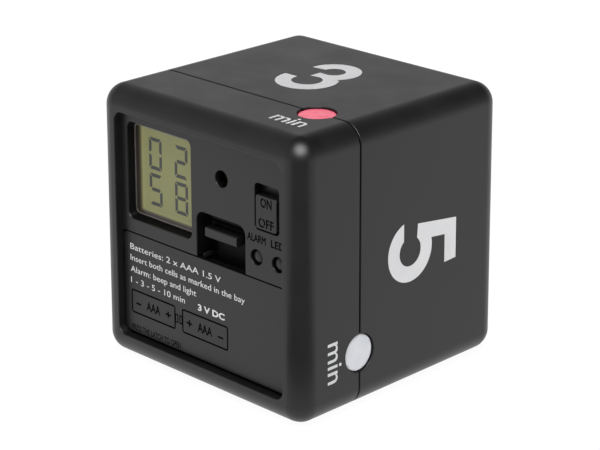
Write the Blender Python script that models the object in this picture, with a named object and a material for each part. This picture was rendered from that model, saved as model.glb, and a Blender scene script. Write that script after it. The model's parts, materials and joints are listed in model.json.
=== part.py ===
"""Electronic cube timer: a 60 mm box in two shells with a sunk control panel on its front (-Y) face.

Origin at the middle of the base, +Z up, the panel faces -Y. Each of the four faces beside the panel
carries a round signal lens that sits across the seam between the shells. Lengths are in metres.
"""

import math

import bmesh
import bpy
from mathutils import Matrix, Vector

MM = 0.001

# Casing
CUBE = 60.0 * MM
EDGE_RADIUS = 4.6 * MM
WALL = 2.0 * MM
FRONT_DEPTH = 16.9 * MM
SEAM_GAP = 0.35 * MM
RIM_WIDTH = 5.2 * MM
RIM_ROUND = 0.25 * MM
OPENING_RADIUS = 2.0 * MM
PANEL_RECESS = 1.75 * MM
PANEL_THICKNESS = 1.7 * MM
LIP_THICKNESS = 0.9 * MM
LIP_REACH = 2.0 * MM
LIP_ROOT = 2.5 * MM
BACK_CORNER = 0.4 * MM
GAP = 0.3 * MM
PASS = 1.0 * MM

# Panel openings, measured from the edges of the sunk panel
WINDOW_WIDTH = 19.75 * MM
WINDOW_HEIGHT = 21.3 * MM
WINDOW_RADIUS = 1.5 * MM
WINDOW_BEVEL = 0.8 * MM
WINDOW_SIDE_MARGIN = 1.95 * MM
WINDOW_TOP_MARGIN = 2.06 * MM
SOUND_RADIUS = 1.8 * MM
SOUND_FROM_WINDOW = 9.1 * MM
SOUND_TOP_MARGIN = 7.95 * MM
SLOT_WIDTH = 6.8 * MM
SLOT_HEIGHT = 9.7 * MM
SLOT_RADIUS = 0.9 * MM
SLOT_SIDE_MARGIN = 2.4 * MM
SLOT_TOP_MARGIN = 6.2 * MM
KNOB_WIDTH = 5.9 * MM
KNOB_HEIGHT = 7.1 * MM
KNOB_PROUD = 0.2 * MM
KNOB_END_GAP = 0.35 * MM
KNOB_CORNER = 0.7 * MM
KNOB_ROOT = 0.4 * MM
KNOB_FLANGE = 0.8 * MM
KNOB_FLANGE_SIDE = 0.6 * MM
KNOB_FLANGE_END = 0.5 * MM
BUTTON_RADIUS = 1.4 * MM
BUTTON_HOLE_RADIUS = 1.65 * MM
BUTTON_SPACING = 6.05 * MM
BUTTON_SIDE_MARGIN = 2.75 * MM
BUTTON_BELOW_SLOT = 6.0 * MM
BUTTON_TRAVEL = 0.35 * MM
BUTTON_STEM = 1.05 * MM
BUTTON_FLANGE = 0.7 * MM
BUTTON_FLANGE_SIDE = 0.8 * MM
BUTTON_SUNK = 0.25 * MM
BUTTON_DOME = 0.7 * MM

# Battery bay, door and latch
CELL_DIAMETER = 10.5 * MM
CELL_LENGTH = 44.5 * MM
CELL_NUB_RADIUS = 1.9 * MM
CELL_NUB_LENGTH = 0.8 * MM
CELL_PLAY = 0.35 * MM
CELL_EDGE = 0.4 * MM
CELL_SPACING_GAP = 0.6 * MM
CONTACT_THICKNESS = 0.3 * MM
CONTACT_MARGIN = 1.0 * MM
CONTACT_CORNER = 1.0 * MM
SPRING_LENGTH = 2.4 * MM
SPRING_WIRE = 0.5 * MM
SPRING_TURNS = 3
TRAY_WALL = 0.95 * MM
DOOR_THICKNESS = 1.3 * MM
DOOR_SEAM = 0.3 * MM
DOOR_TOP_RISE = 0.65 * MM
DOOR_BOTTOM_GAP = 0.35 * MM
DOOR_CHAMFER = 0.35 * MM
TONGUE_WIDTH = 6.0 * MM
TONGUE_OFFSET = 14.0 * MM
TONGUE_RADIUS = 0.45 * MM
TONGUE_SLOT_DEPTH = 0.4 * MM
HINGE_SETBACK = 0.05 * MM
LATCH_CENTRE = 5.6 * MM
LATCH_WIDTH = 9.3 * MM
LATCH_ARM = 0.8 * MM
LATCH_LIP_HEIGHT = 2.3 * MM
LATCH_LIP_RISE = 5.0 * MM
LATCH_TOOTH = 0.9 * MM
LATCH_TOOTH_WIDTH = 11.2 * MM
LATCH_TOOTH_DROP = 0.85 * MM
LATCH_TOOTH_RISE = 0.5 * MM
LATCH_EDGE = 0.2 * MM
LATCH_ROUND = 0.4 * MM
LATCH_ROOT_DROP = 1.15 * MM
LATCH_CLEARANCE = 0.6 * MM
CATCH_SETBACK = 1.8 * MM
CATCH_THICKNESS = 0.6 * MM
POCKET_WIDTH = 14.3 * MM
POCKET_HEIGHT = 9.95 * MM
POCKET_RADIUS = 2.0 * MM
POCKET_DEPTH = 5.15 * MM
POCKET_WALL = 0.7 * MM

# Display and electronics
GLASS_THICKNESS = 2.0 * MM
GLASS_MARGIN = 0.5 * MM
HOLDER_WALL = 0.6 * MM
ZEBRA_HEIGHT = 2.2 * MM
BOARD_THICKNESS = 1.6 * MM
BOARD_STANDOFF = 4.75 * MM
BOARD_MARGIN = 1.4 * MM
BOARD_ABOVE_BAY = 0.5 * MM
BOARD_CORNER = 1.0 * MM
BUZZER_STANDOFF = 1.15 * MM
BUZZER_RADIUS = 5.5 * MM
BUZZER_RING_WALL = 0.8 * MM
BUZZER_RING_HEIGHT = 2.05 * MM
CERAMIC_RADIUS = 4.0 * MM
SHEET_THICKNESS = 0.4 * MM
WIRE_RADIUS = 0.35 * MM
POSITIVE_LEAD_DEPTH = 3.2 * MM
NEGATIVE_LEAD_DEPTH = 1.6 * MM
LEAD_BEND = 1.5 * MM
RIBBON_WIDTH = 8.0 * MM
RIBBON_THICKNESS = 0.6 * MM
RIBBON_BOW = 2.0 * MM
SWITCH_CAN_WIDTH = 4.4 * MM
SWITCH_CAN_DEPTH = 2.3 * MM
SWITCH_CAN_HEIGHT = 7.0 * MM
LEVER_WIDTH = 1.5 * MM
LEVER_SETBACK = 1.1 * MM
TACT_SIZE = 4.5 * MM
TACT_HEIGHT = 1.5 * MM
PLUNGER_RADIUS = 0.9 * MM
PLUNGER_GAP = 0.1 * MM
TILT_CASE = 8.0 * MM
TILT_DEPTH = 4.0 * MM
TILT_POCKET = 4.5 * MM
TILT_BALL_RADIUS = 1.25 * MM
TILT_COVER = 0.8 * MM
TILT_DROP = 5.0 * MM
CHIP_RADIUS = 4.0 * MM
CHIP_HEIGHT = 1.4 * MM
CRYSTAL_RADIUS = 1.0 * MM
CRYSTAL_LENGTH = 6.0 * MM
CRYSTAL_EDGE = 0.2 * MM

# Signal lenses and their lamps
LENS_OFFSET = 18.0 * MM
LENS_DIAMETER = 7.8 * MM
LENS_CLEARANCE = 0.2 * MM
LENS_SUNK = 0.25 * MM
LENS_FLANGE = 1.0 * MM
LENS_EDGE = 0.3 * MM
LAMP_RADIUS = 1.5 * MM
LAMP_FLANGE_RADIUS = 1.6 * MM
LAMP_LENGTH = 5.3 * MM
LAMP_SETBACK = 0.65 * MM
LAMP_LEG = 0.45 * MM
LAMP_LEG_OFFSET = 0.64 * MM
LAMP_LEG_DROP = 2.0 * MM
LAMP_GAP = 0.25 * MM
LIGHT_BOARD_MARGIN = 1.3 * MM

# Fasteners
SCREW_RADIUS = 1.0 * MM
SCREW_HEAD_RADIUS = 1.9 * MM
SCREW_HEAD_HEIGHT = 1.1 * MM
SCREW_BITE = 6.0 * MM
SMALL_SCREW_RADIUS = 0.75 * MM
SMALL_HEAD_RADIUS = 1.5 * MM
POST_RADIUS = 2.5 * MM
BOSS_RADIUS = 1.7 * MM
CASE_SCREW_OFFSET = 12.0 * MM
CORNER_POST_INSET = 5.0 * MM
CORNER_POST_SHIFT = 1.0 * MM
BOSS_FROM_SOUND = 2.5 * MM
BOSS_TOP_MARGIN = 1.4 * MM
BOSS_SIDE_MARGIN = 1.5 * MM
BOSS_BELOW_SLOT = 0.15 * MM

# Planes and edges that several pieces share
HALF = CUBE / 2
FRONT_Y = -HALF
PANEL_Y = FRONT_Y + PANEL_RECESS
PANEL_BACK_Y = PANEL_Y + PANEL_THICKNESS
SEAM_Y = FRONT_Y + FRONT_DEPTH
INNER_HALF = HALF - WALL
INNER_RADIUS = EDGE_RADIUS - WALL
OPENING_HALF = HALF - RIM_WIDTH
PANEL_LOW_Z = HALF - OPENING_HALF
PANEL_TOP_Z = HALF + OPENING_HALF
LIP_HALF = INNER_HALF - GAP
LIP_INNER_HALF = LIP_HALF - LIP_THICKNESS
LIP_TIP_Y = SEAM_Y - LIP_REACH
LIP_ROOT_Y = SEAM_Y + LIP_ROOT

CELL_RADIUS = CELL_DIAMETER / 2
CELL_Y = PANEL_Y + DOOR_THICKNESS + CELL_PLAY + CELL_RADIUS
CELL_LOW_Z = PANEL_LOW_Z + CELL_PLAY + CELL_RADIUS
CELL_TOP_Z = CELL_LOW_Z + CELL_DIAMETER + CELL_SPACING_GAP
BAY_TOP_Z = CELL_TOP_Z + CELL_RADIUS + CELL_PLAY
BAY_BACK_Y = CELL_Y + CELL_RADIUS + GAP
BAY_HALF = (CELL_LENGTH + SPRING_LENGTH + 3 * GAP + 2 * (GAP + CONTACT_THICKNESS)) / 2
TRAY_BACK_Y = BAY_BACK_Y + TRAY_WALL
TRAY_FRONT_Y = PANEL_BACK_Y + GAP
DOOR_BACK_Y = PANEL_Y + DOOR_THICKNESS
DOOR_LOW_Z = PANEL_LOW_Z + DOOR_BOTTOM_GAP
DOOR_TOP_Z = BAY_TOP_Z + DOOR_TOP_RISE
DOOR_OPENING_TOP_Z = DOOR_TOP_Z + DOOR_SEAM
HINGE_Y = DOOR_BACK_Y - HINGE_SETBACK
HINGE_Z = PANEL_LOW_Z - DOOR_CHAMFER

WINDOW_LEFT = -OPENING_HALF + WINDOW_SIDE_MARGIN
WINDOW_X = WINDOW_LEFT + WINDOW_WIDTH / 2
WINDOW_Z = PANEL_TOP_Z - WINDOW_TOP_MARGIN - WINDOW_HEIGHT / 2
GLASS_WIDTH = WINDOW_WIDTH - 2 * WINDOW_BEVEL + 2 * GLASS_MARGIN
GLASS_HEIGHT = WINDOW_HEIGHT - 2 * WINDOW_BEVEL + 2 * GLASS_MARGIN
GLASS_Y = PANEL_BACK_Y + GAP
GLASS_BACK_Y = GLASS_Y + GLASS_THICKNESS
SOUND_X = WINDOW_LEFT + WINDOW_WIDTH + SOUND_FROM_WINDOW
SOUND_Z = PANEL_TOP_Z - SOUND_TOP_MARGIN
SLOT_X = OPENING_HALF - SLOT_SIDE_MARGIN - SLOT_WIDTH / 2
SLOT_TOP_Z = PANEL_TOP_Z - SLOT_TOP_MARGIN
SLOT_LOW_Z = SLOT_TOP_Z - SLOT_HEIGHT
KNOB_TRAVEL = SLOT_HEIGHT - KNOB_HEIGHT - 2 * KNOB_END_GAP
KNOB_LOW_Z = SLOT_LOW_Z + KNOB_END_GAP
BUTTON_Z = SLOT_LOW_Z - BUTTON_BELOW_SLOT
BUTTON_RIGHT_X = OPENING_HALF - BUTTON_SIDE_MARGIN
BUTTON_LEFT_X = BUTTON_RIGHT_X - BUTTON_SPACING
POCKET_TOP_Z = DOOR_OPENING_TOP_Z + POCKET_HEIGHT
POCKET_BACK_Y = PANEL_Y + POCKET_DEPTH
LATCH_LOW_Z = DOOR_TOP_Z - LATCH_ROOT_DROP
LATCH_BACK_Y = POCKET_BACK_Y - LATCH_ARM
LATCH_FRONT_Y = LATCH_BACK_Y - LATCH_ARM
LATCH_LIP_Z = DOOR_TOP_Z + LATCH_LIP_RISE
LATCH_TOP_Z = LATCH_LIP_Z + LATCH_LIP_HEIGHT
BEND_Y = LATCH_BACK_Y - LATCH_ARM / 2
BEND_Z = LATCH_LOW_Z + LATCH_ARM / 2

BOARD_Y = PANEL_BACK_Y + BOARD_STANDOFF
BOARD_BACK_Y = BOARD_Y + BOARD_THICKNESS
BOARD_LOW_Z = BAY_TOP_Z + TRAY_WALL + BOARD_ABOVE_BAY
BOARD_TOP_Z = HALF + INNER_HALF - BOARD_MARGIN
BOARD_HALF = INNER_HALF - BOARD_MARGIN
BOARD_FRONT_GAP_Y = BOARD_Y - GAP
BUZZER_Y = PANEL_BACK_Y + BUZZER_STANDOFF
TILT_X = WINDOW_X
TILT_Z = WINDOW_Z - TILT_DROP
LAMP_Y = SEAM_Y + LAMP_SETBACK
LIGHT_BOARD_Y = LAMP_Y + LAMP_FLANGE_RADIUS + LAMP_GAP
LIGHT_BOARD_BACK_Y = LIGHT_BOARD_Y + BOARD_THICKNESS
LIGHT_BOARD_HALF = LIP_INNER_HALF - LIGHT_BOARD_MARGIN
POST_Y = LIGHT_BOARD_BACK_Y + GAP
CASE_SCREW_Z = (CELL_LOW_Z + CELL_TOP_Z) / 2
CORNER_POST = INNER_HALF - CORNER_POST_INSET

FACES = ("top", "right", "bottom", "left")
BOSSES = (
    (SOUND_X - BOSS_FROM_SOUND, BOARD_TOP_Z - BOSS_TOP_MARGIN),
    (BOARD_HALF - BOSS_SIDE_MARGIN, BOARD_TOP_Z - BOSS_TOP_MARGIN),
    (BOARD_HALF - BOSS_SIDE_MARGIN, SLOT_LOW_Z - BOSS_BELOW_SLOT),
)
CASE_SCREWS = ((-CASE_SCREW_OFFSET, CASE_SCREW_Z), (CASE_SCREW_OFFSET, CASE_SCREW_Z))
CORNER_POSTS = (
    (CORNER_POST, HALF + CORNER_POST - CORNER_POST_SHIFT),
    (CORNER_POST_SHIFT - CORNER_POST, HALF + CORNER_POST),
)
TURN_TO_FRONT = Matrix.Rotation(math.radians(90), 4, "X")
TURN_TO_BACK = Matrix.Rotation(math.radians(-90), 4, "X")
TURN_TO_RIGHT = Matrix.Rotation(math.radians(90), 4, "Y")
TURN_TO_LEFT = Matrix.Rotation(math.radians(-90), 4, "Y")


def clear_scene():
    for obj in list(bpy.data.objects):
        bpy.data.objects.remove(obj, do_unlink=True)


def linear(channel):
    """One sRGB channel, 0 to 1, as linear light."""
    if channel <= 0.04045:
        return channel / 12.92
    return ((channel + 0.055) / 1.055) ** 2.4


def finish(name, hex_colour, roughness, metallic=0.0, transmission=0.0):
    """A plain Principled material with an sRGB hex colour."""
    material = bpy.data.materials.new(name)
    material.use_nodes = True
    shader = material.node_tree.nodes["Principled BSDF"]
    channels = [int(hex_colour[i : i + 2], 16) / 255 for i in (0, 2, 4)]
    shader.inputs["Base Color"].default_value = (*map(linear, channels), 1.0)
    shader.inputs["Roughness"].default_value = roughness
    shader.inputs["Metallic"].default_value = metallic
    shader.inputs["Transmission Weight"].default_value = transmission
    return material


def make_object(name, mesh_maker, material):
    """Links a new object whose mesh mesh_maker fills, with outward faces and smooth rounds."""
    form = bmesh.new()
    mesh_maker(form)
    bmesh.ops.remove_doubles(form, verts=form.verts, dist=1e-6)
    bmesh.ops.recalc_face_normals(form, faces=form.faces)
    mesh = bpy.data.meshes.new(name)
    form.to_mesh(mesh)
    form.free()
    mesh.shade_smooth()
    mesh.set_sharp_from_angle(angle=math.radians(32))
    if material:
        mesh.materials.append(material)
    obj = bpy.data.objects.new(name, mesh)
    bpy.context.scene.collection.objects.link(obj)
    return obj


def loft(name, rings, material=None):
    """A closed solid through rings of equal point counts, capped at both ends."""

    def fill(form):
        rows = [[form.verts.new(point) for point in ring] for ring in rings]
        for low, high in zip(rows, rows[1:]):
            for i in range(len(low)):
                j = (i + 1) % len(low)
                form.faces.new((low[i], low[j], high[j], high[i]))
        form.faces.new(rows[0])
        form.faces.new(rows[-1])

    return make_object(name, fill, material)


def turned(name, profile, steps, material=None):
    """A solid of revolution about local Z. The profile lists (radius, z) from one end to the other."""
    rings = []
    for radius, z in profile:
        angles = [2 * math.pi * i / steps for i in range(steps)]
        rings.append([(radius * math.cos(a), radius * math.sin(a), z) for a in angles])
    return loft(name, rings, material)


def rounded_outline(x_low, x_high, z_low, z_high, radii, steps=5):
    """Corner-rounded rectangle, counter-clockwise from the lower left. radii has the lower pair's radius,
    then the upper pair's."""
    low, high = radii
    corners = (
        (x_low + low, z_low + low, low, 180),
        (x_high - low, z_low + low, low, 270),
        (x_high - high, z_high - high, high, 0),
        (x_low + high, z_high - high, high, 90),
    )
    points = []
    for x, z, radius, start in corners:
        for i in range(steps + 1):
            angle = math.radians(start + 90 * i / steps)
            points.append((x + radius * math.cos(angle), z + radius * math.sin(angle)))
    return points


def ring_at(outline, y):
    return [(x, y, z) for x, z in outline]


def square_ring(y, half, radius):
    """A rounded square about the cube's Y axis."""
    outline = rounded_outline(-half, half, HALF - half, HALF + half, (radius, radius), 6)
    return ring_at(outline, y)


def prism(name, outline, y_low, y_high, material=None):
    """An X-Z outline carried along Y."""
    return loft(name, [ring_at(outline, y_low), ring_at(outline, y_high)], material)


def side_prism(name, outline, x_low, x_high, material=None):
    """A Y-Z outline carried along X."""
    rings = [[(x, y, z) for y, z in outline] for x in (x_low, x_high)]
    return loft(name, rings, material)


def block(name, low, high, material=None):
    outline = [(low[0], low[2]), (high[0], low[2]), (high[0], high[2]), (low[0], high[2])]
    return prism(name, outline, low[1], high[1], material)


def cylinder(name, x, z, radius, y_low, y_high, steps=24, material=None):
    """A cylinder along Y."""
    angles = [2 * math.pi * i / steps for i in range(steps)]
    outline = [(x + radius * math.cos(a), z + radius * math.sin(a)) for a in angles]
    return prism(name, outline, y_low, y_high, material)


def tube(name, points, radius, material):
    """A round wire through points."""
    curve = bpy.data.curves.new(name, "CURVE")
    curve.dimensions = "3D"
    curve.bevel_depth = radius
    curve.bevel_resolution = 1
    curve.use_fill_caps = True
    spline = curve.splines.new("POLY")
    spline.points.add(len(points) - 1)
    for slot, point in zip(spline.points, points):
        slot.co = (*point, 1.0)
    curve.materials.append(material)
    obj = bpy.data.objects.new(name, curve)
    bpy.context.scene.collection.objects.link(obj)
    return obj


def smooth_route(corners, steps=14):
    """Points along one Catmull-Rom curve through the corners."""
    spots = [Vector(corner) for corner in corners]
    spots = [2 * spots[0] - spots[1], *spots, 2 * spots[-1] - spots[-2]]
    share = steps // (len(corners) - 1)
    route = []
    for a, b, c, d in zip(spots, spots[1:], spots[2:], spots[3:]):
        square = 2 * a - 5 * b + 4 * c - d
        cube = 3 * b - a - 3 * c + d
        for i in range(share):
            t = i / share
            route.append(b + ((c - a) * t + square * t**2 + cube * t**3) / 2)
    route.append(spots[-2])
    return route


def combine(target, tool, operation="DIFFERENCE"):
    """Cuts the tool from the target, or joins it, and keeps the tool out of the model."""
    tool.hide_render = True
    tool.display_type = "WIRE"
    boolean = target.modifiers.new(tool.name, "BOOLEAN")
    boolean.operation = operation
    boolean.solver = "EXACT"
    boolean.object = tool
    return target


def join(target, tool):
    return combine(target, tool, "UNION")


def origin_at(obj, point):
    """Moves the origin of an unturned object, not its shape."""
    obj.data.transform(Matrix.Translation(obj.location - Vector(point)))
    obj.location = point
    return obj


def pose(obj, point, turn=None):
    """Places an object that was modelled about its own origin."""
    obj.matrix_world = Matrix.Translation(point) @ (turn or Matrix.Identity(4))
    return obj


def lens_tools(name, radius, low, high):
    """One cutter cylinder for each lens, pointing out of its face."""
    tools = []
    for turn, face in enumerate(FACES):
        tool = turned(f"{name}_{face}", [(radius, low), (radius, high)], 32)
        spot = Vector((LENS_OFFSET, SEAM_Y, 0))
        quarter = Matrix.Rotation(math.radians(90 * turn), 4, "Y")
        tool.matrix_world = Matrix.Translation((0, 0, HALF)) @ quarter @ Matrix.Translation(spot)
        tools.append(tool)
    return tools


def front_shell(material):
    """The front wall ring, the rolled rim and the sunk panel in one moulding."""
    rings = [
        square_ring(PANEL_BACK_Y, INNER_HALF, INNER_RADIUS),
        square_ring(SEAM_Y - SEAM_GAP / 2, INNER_HALF, INNER_RADIUS),
        square_ring(SEAM_Y - SEAM_GAP / 2, HALF, EDGE_RADIUS),
    ]
    for step in range(7):
        angle = math.radians(80 * step / 6)
        reach = EDGE_RADIUS * math.cos(angle)
        y = FRONT_Y + EDGE_RADIUS * (1 - math.sin(angle))
        rings.append(square_ring(y, HALF - EDGE_RADIUS + reach, reach))
    for step in range(5):
        angle = math.radians(90 * step / 4)
        flare = RIM_ROUND * (1 - math.sin(angle))
        y = FRONT_Y + RIM_ROUND * (1 - math.cos(angle))
        rings.append(square_ring(y, OPENING_HALF + flare, OPENING_RADIUS + flare))
    rings.append(square_ring(PANEL_Y, OPENING_HALF, OPENING_RADIUS))
    shell = loft("front_shell", rings, material)
    join_panel_bosses(shell)
    cut_panel_openings(shell)
    cut_hinge_slots(shell)
    half = LATCH_WIDTH / 2
    catch_z = LATCH_TOP_Z + LATCH_TOOTH + LATCH_CLEARANCE
    catch_y = LATCH_BACK_Y - CATCH_SETBACK
    catch_low = (LATCH_CENTRE - half, catch_y - CATCH_THICKNESS, catch_z)
    join(shell, block("catch_bar", catch_low, (LATCH_CENTRE + half, catch_y, POCKET_TOP_Z + POCKET_WALL / 2)))
    hole = LENS_DIAMETER / 2 + LENS_CLEARANCE
    for tool in lens_tools("front_lens_hole", hole, INNER_HALF - PASS, HALF + PASS):
        combine(shell, tool)
    return shell


def join_panel_bosses(shell):
    """The walls and posts that stand on the panel's inner side."""
    root_y = PANEL_BACK_Y - PANEL_THICKNESS / 2
    reach = POCKET_WIDTH / 2 + POCKET_WALL
    pocket_low = (LATCH_CENTRE - reach, root_y, BAY_TOP_Z + TRAY_WALL + GAP)
    pocket_high = (LATCH_CENTRE + reach, POCKET_BACK_Y + POCKET_WALL, POCKET_TOP_Z + POCKET_WALL)
    join(shell, block("pocket_walls", pocket_low, pocket_high))
    ring_radius = BUZZER_RADIUS + GAP + BUZZER_RING_WALL
    ring_top = PANEL_BACK_Y + BUZZER_RING_HEIGHT
    join(shell, cylinder("buzzer_ring", SOUND_X, SOUND_Z, ring_radius, root_y, ring_top, 36))
    bore = BUZZER_RADIUS + GAP
    chamber = cylinder("buzzer_chamber", SOUND_X, SOUND_Z, bore, PANEL_BACK_Y - GAP, ring_top + PASS, 36)
    combine(shell, chamber)
    for number, (x, z) in enumerate(BOSSES, 1):
        join(shell, cylinder(f"boss_{number}", x, z, BOSS_RADIUS, root_y, BOARD_Y - GAP, 20))
        bore = cylinder(f"boss_bore_{number}", x, z, SMALL_SCREW_RADIUS + GAP, PANEL_BACK_Y, BOARD_Y, 16)
        combine(shell, bore)


def cut_panel_openings(shell):
    """The display window, sound hole, switch slot, button holes, latch pocket and battery opening."""
    rings = []
    for y, inset in (
        (PANEL_Y - PASS, 0.0),
        (PANEL_Y, 0.0),
        (PANEL_BACK_Y, WINDOW_BEVEL),
        (PANEL_BACK_Y + PASS, WINDOW_BEVEL),
    ):
        half_width = WINDOW_WIDTH / 2 - inset
        half_height = WINDOW_HEIGHT / 2 - inset
        radius = WINDOW_RADIUS - inset / 2
        outline = rounded_outline(
            WINDOW_X - half_width,
            WINDOW_X + half_width,
            WINDOW_Z - half_height,
            WINDOW_Z + half_height,
            (radius, radius),
        )
        rings.append(ring_at(outline, y))
    combine(shell, loft("window_opening", rings))
    low_y = PANEL_Y - PASS
    high_y = PANEL_BACK_Y + PASS
    combine(shell, cylinder("sound_hole", SOUND_X, SOUND_Z, SOUND_RADIUS, low_y, high_y, 28))
    half = SLOT_WIDTH / 2
    radii = (SLOT_RADIUS, SLOT_RADIUS)
    slot = rounded_outline(SLOT_X - half, SLOT_X + half, SLOT_LOW_Z, SLOT_TOP_Z, radii, 4)
    combine(shell, prism("switch_slot", slot, low_y, high_y))
    for name, x in (("alarm_hole", BUTTON_LEFT_X), ("light_hole", BUTTON_RIGHT_X)):
        combine(shell, cylinder(name, x, BUTTON_Z, BUTTON_HOLE_RADIUS, low_y, high_y, 24))
    pocket = rounded_outline(
        LATCH_CENTRE - POCKET_WIDTH / 2,
        LATCH_CENTRE + POCKET_WIDTH / 2,
        DOOR_LOW_Z + CELL_RADIUS,
        POCKET_TOP_Z,
        (POCKET_RADIUS, POCKET_RADIUS),
    )
    combine(shell, prism("latch_pocket", pocket, low_y, POCKET_BACK_Y))
    radii = (OPENING_RADIUS, OPENING_RADIUS / 2)
    opening = rounded_outline(-OPENING_HALF, OPENING_HALF, PANEL_LOW_Z, DOOR_OPENING_TOP_Z, radii)
    combine(shell, prism("battery_opening", opening, PANEL_Y - PANEL_RECESS / 2, high_y))


def cut_hinge_slots(shell):
    """Two slots in the lower rim that hold the door's tongues."""
    for side in (-1, 1):
        x = side * TONGUE_OFFSET
        reach = TONGUE_WIDTH / 2 + GAP
        name = f"tongue_slot_{'left' if side < 0 else 'right'}"
        slot_low_z = HINGE_Z - TONGUE_RADIUS - TONGUE_SLOT_DEPTH
        low = (x - reach, HINGE_Y - TONGUE_RADIUS - 2 * GAP, slot_low_z)
        combine(shell, block(name, low, (x + reach, PANEL_BACK_Y + PASS, PANEL_LOW_Z + PASS)))


def rear_shell(material):
    """The deep rear box, with a lip that fits inside the front shell and four long screw posts."""
    rings = [
        square_ring(HALF - WALL, INNER_HALF, INNER_RADIUS),
        square_ring(LIP_ROOT_Y + LIP_THICKNESS + GAP, INNER_HALF, INNER_RADIUS),
        square_ring(LIP_ROOT_Y, LIP_INNER_HALF, INNER_RADIUS),
        square_ring(LIP_TIP_Y, LIP_INNER_HALF, INNER_RADIUS),
        square_ring(LIP_TIP_Y, LIP_HALF, INNER_RADIUS),
        square_ring(SEAM_Y + SEAM_GAP / 2, LIP_HALF, INNER_RADIUS),
        square_ring(SEAM_Y + SEAM_GAP / 2, HALF, EDGE_RADIUS),
    ]
    for step in range(8):
        angle = math.radians(90 * step / 7)
        reach = EDGE_RADIUS * math.cos(angle)
        y = HALF - EDGE_RADIUS * (1 - math.sin(angle))
        rings.append(square_ring(y, HALF - EDGE_RADIUS + reach, max(reach, BACK_CORNER)))
    shell = loft("rear_shell", rings, material)
    for number, (x, z) in enumerate((*CASE_SCREWS, *CORNER_POSTS), 1):
        join(shell, cylinder(f"post_{number}", x, z, POST_RADIUS, POST_Y, HALF - WALL / 2, 20))
    for number, (x, z) in enumerate((*CASE_SCREWS, *CORNER_POSTS), 1):
        bore_end = POST_Y + SCREW_BITE + PASS
        combine(shell, cylinder(f"post_bore_{number}", x, z, SCREW_RADIUS + GAP, POST_Y - PASS, bore_end, 16))
    hole = LENS_DIAMETER / 2 + LENS_CLEARANCE
    for tool in lens_tools("rear_lens_hole", hole, INNER_HALF - PASS, HALF + PASS):
        combine(shell, tool)
    seat = LENS_DIAMETER / 2 + LENS_FLANGE + GAP
    for tool in lens_tools("lens_seat", seat, LIP_INNER_HALF - 3 * PASS, INNER_HALF + GAP / 3):
        combine(shell, tool)
    return shell


def battery_door(material):
    """The flush door, with two tongues that tip in the lower rim."""
    half = OPENING_HALF - DOOR_SEAM
    low_radius = OPENING_RADIUS - DOOR_SEAM
    high_radius = OPENING_RADIUS / 2 - DOOR_SEAM
    front = rounded_outline(-half, half, DOOR_LOW_Z + DOOR_CHAMFER, DOOR_TOP_Z, (low_radius, high_radius))
    full = rounded_outline(-half, half, DOOR_LOW_Z, DOOR_TOP_Z, (low_radius, high_radius))
    rings = [ring_at(front, PANEL_Y), ring_at(full, PANEL_Y + DOOR_CHAMFER), ring_at(full, DOOR_BACK_Y)]
    door = loft("battery_door", rings, material)
    for side in (-1, 1):
        x = side * TONGUE_OFFSET
        tip = []
        for step in range(7):
            angle = math.radians(180 + 180 * step / 6)
            tip.append((HINGE_Y + TONGUE_RADIUS * math.cos(angle), HINGE_Z + TONGUE_RADIUS * math.sin(angle)))
        outline = [
            *tip,
            (HINGE_Y + TONGUE_RADIUS, DOOR_LOW_Z + TONGUE_WIDTH / 4),
            (DOOR_BACK_Y - DOOR_THICKNESS / 4, DOOR_LOW_Z + TONGUE_WIDTH / 3),
            (DOOR_BACK_Y - DOOR_THICKNESS / 4, DOOR_LOW_Z + DOOR_BOTTOM_GAP / 2),
            (HINGE_Y - TONGUE_RADIUS, DOOR_LOW_Z - DOOR_BOTTOM_GAP / 3),
        ]
        name = f"tongue_{'left' if side < 0 else 'right'}"
        join(door, side_prism(name, outline, x - TONGUE_WIDTH / 2, x + TONGUE_WIDTH / 2))
    return origin_at(door, (0, HINGE_Y, HINGE_Z))


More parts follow.
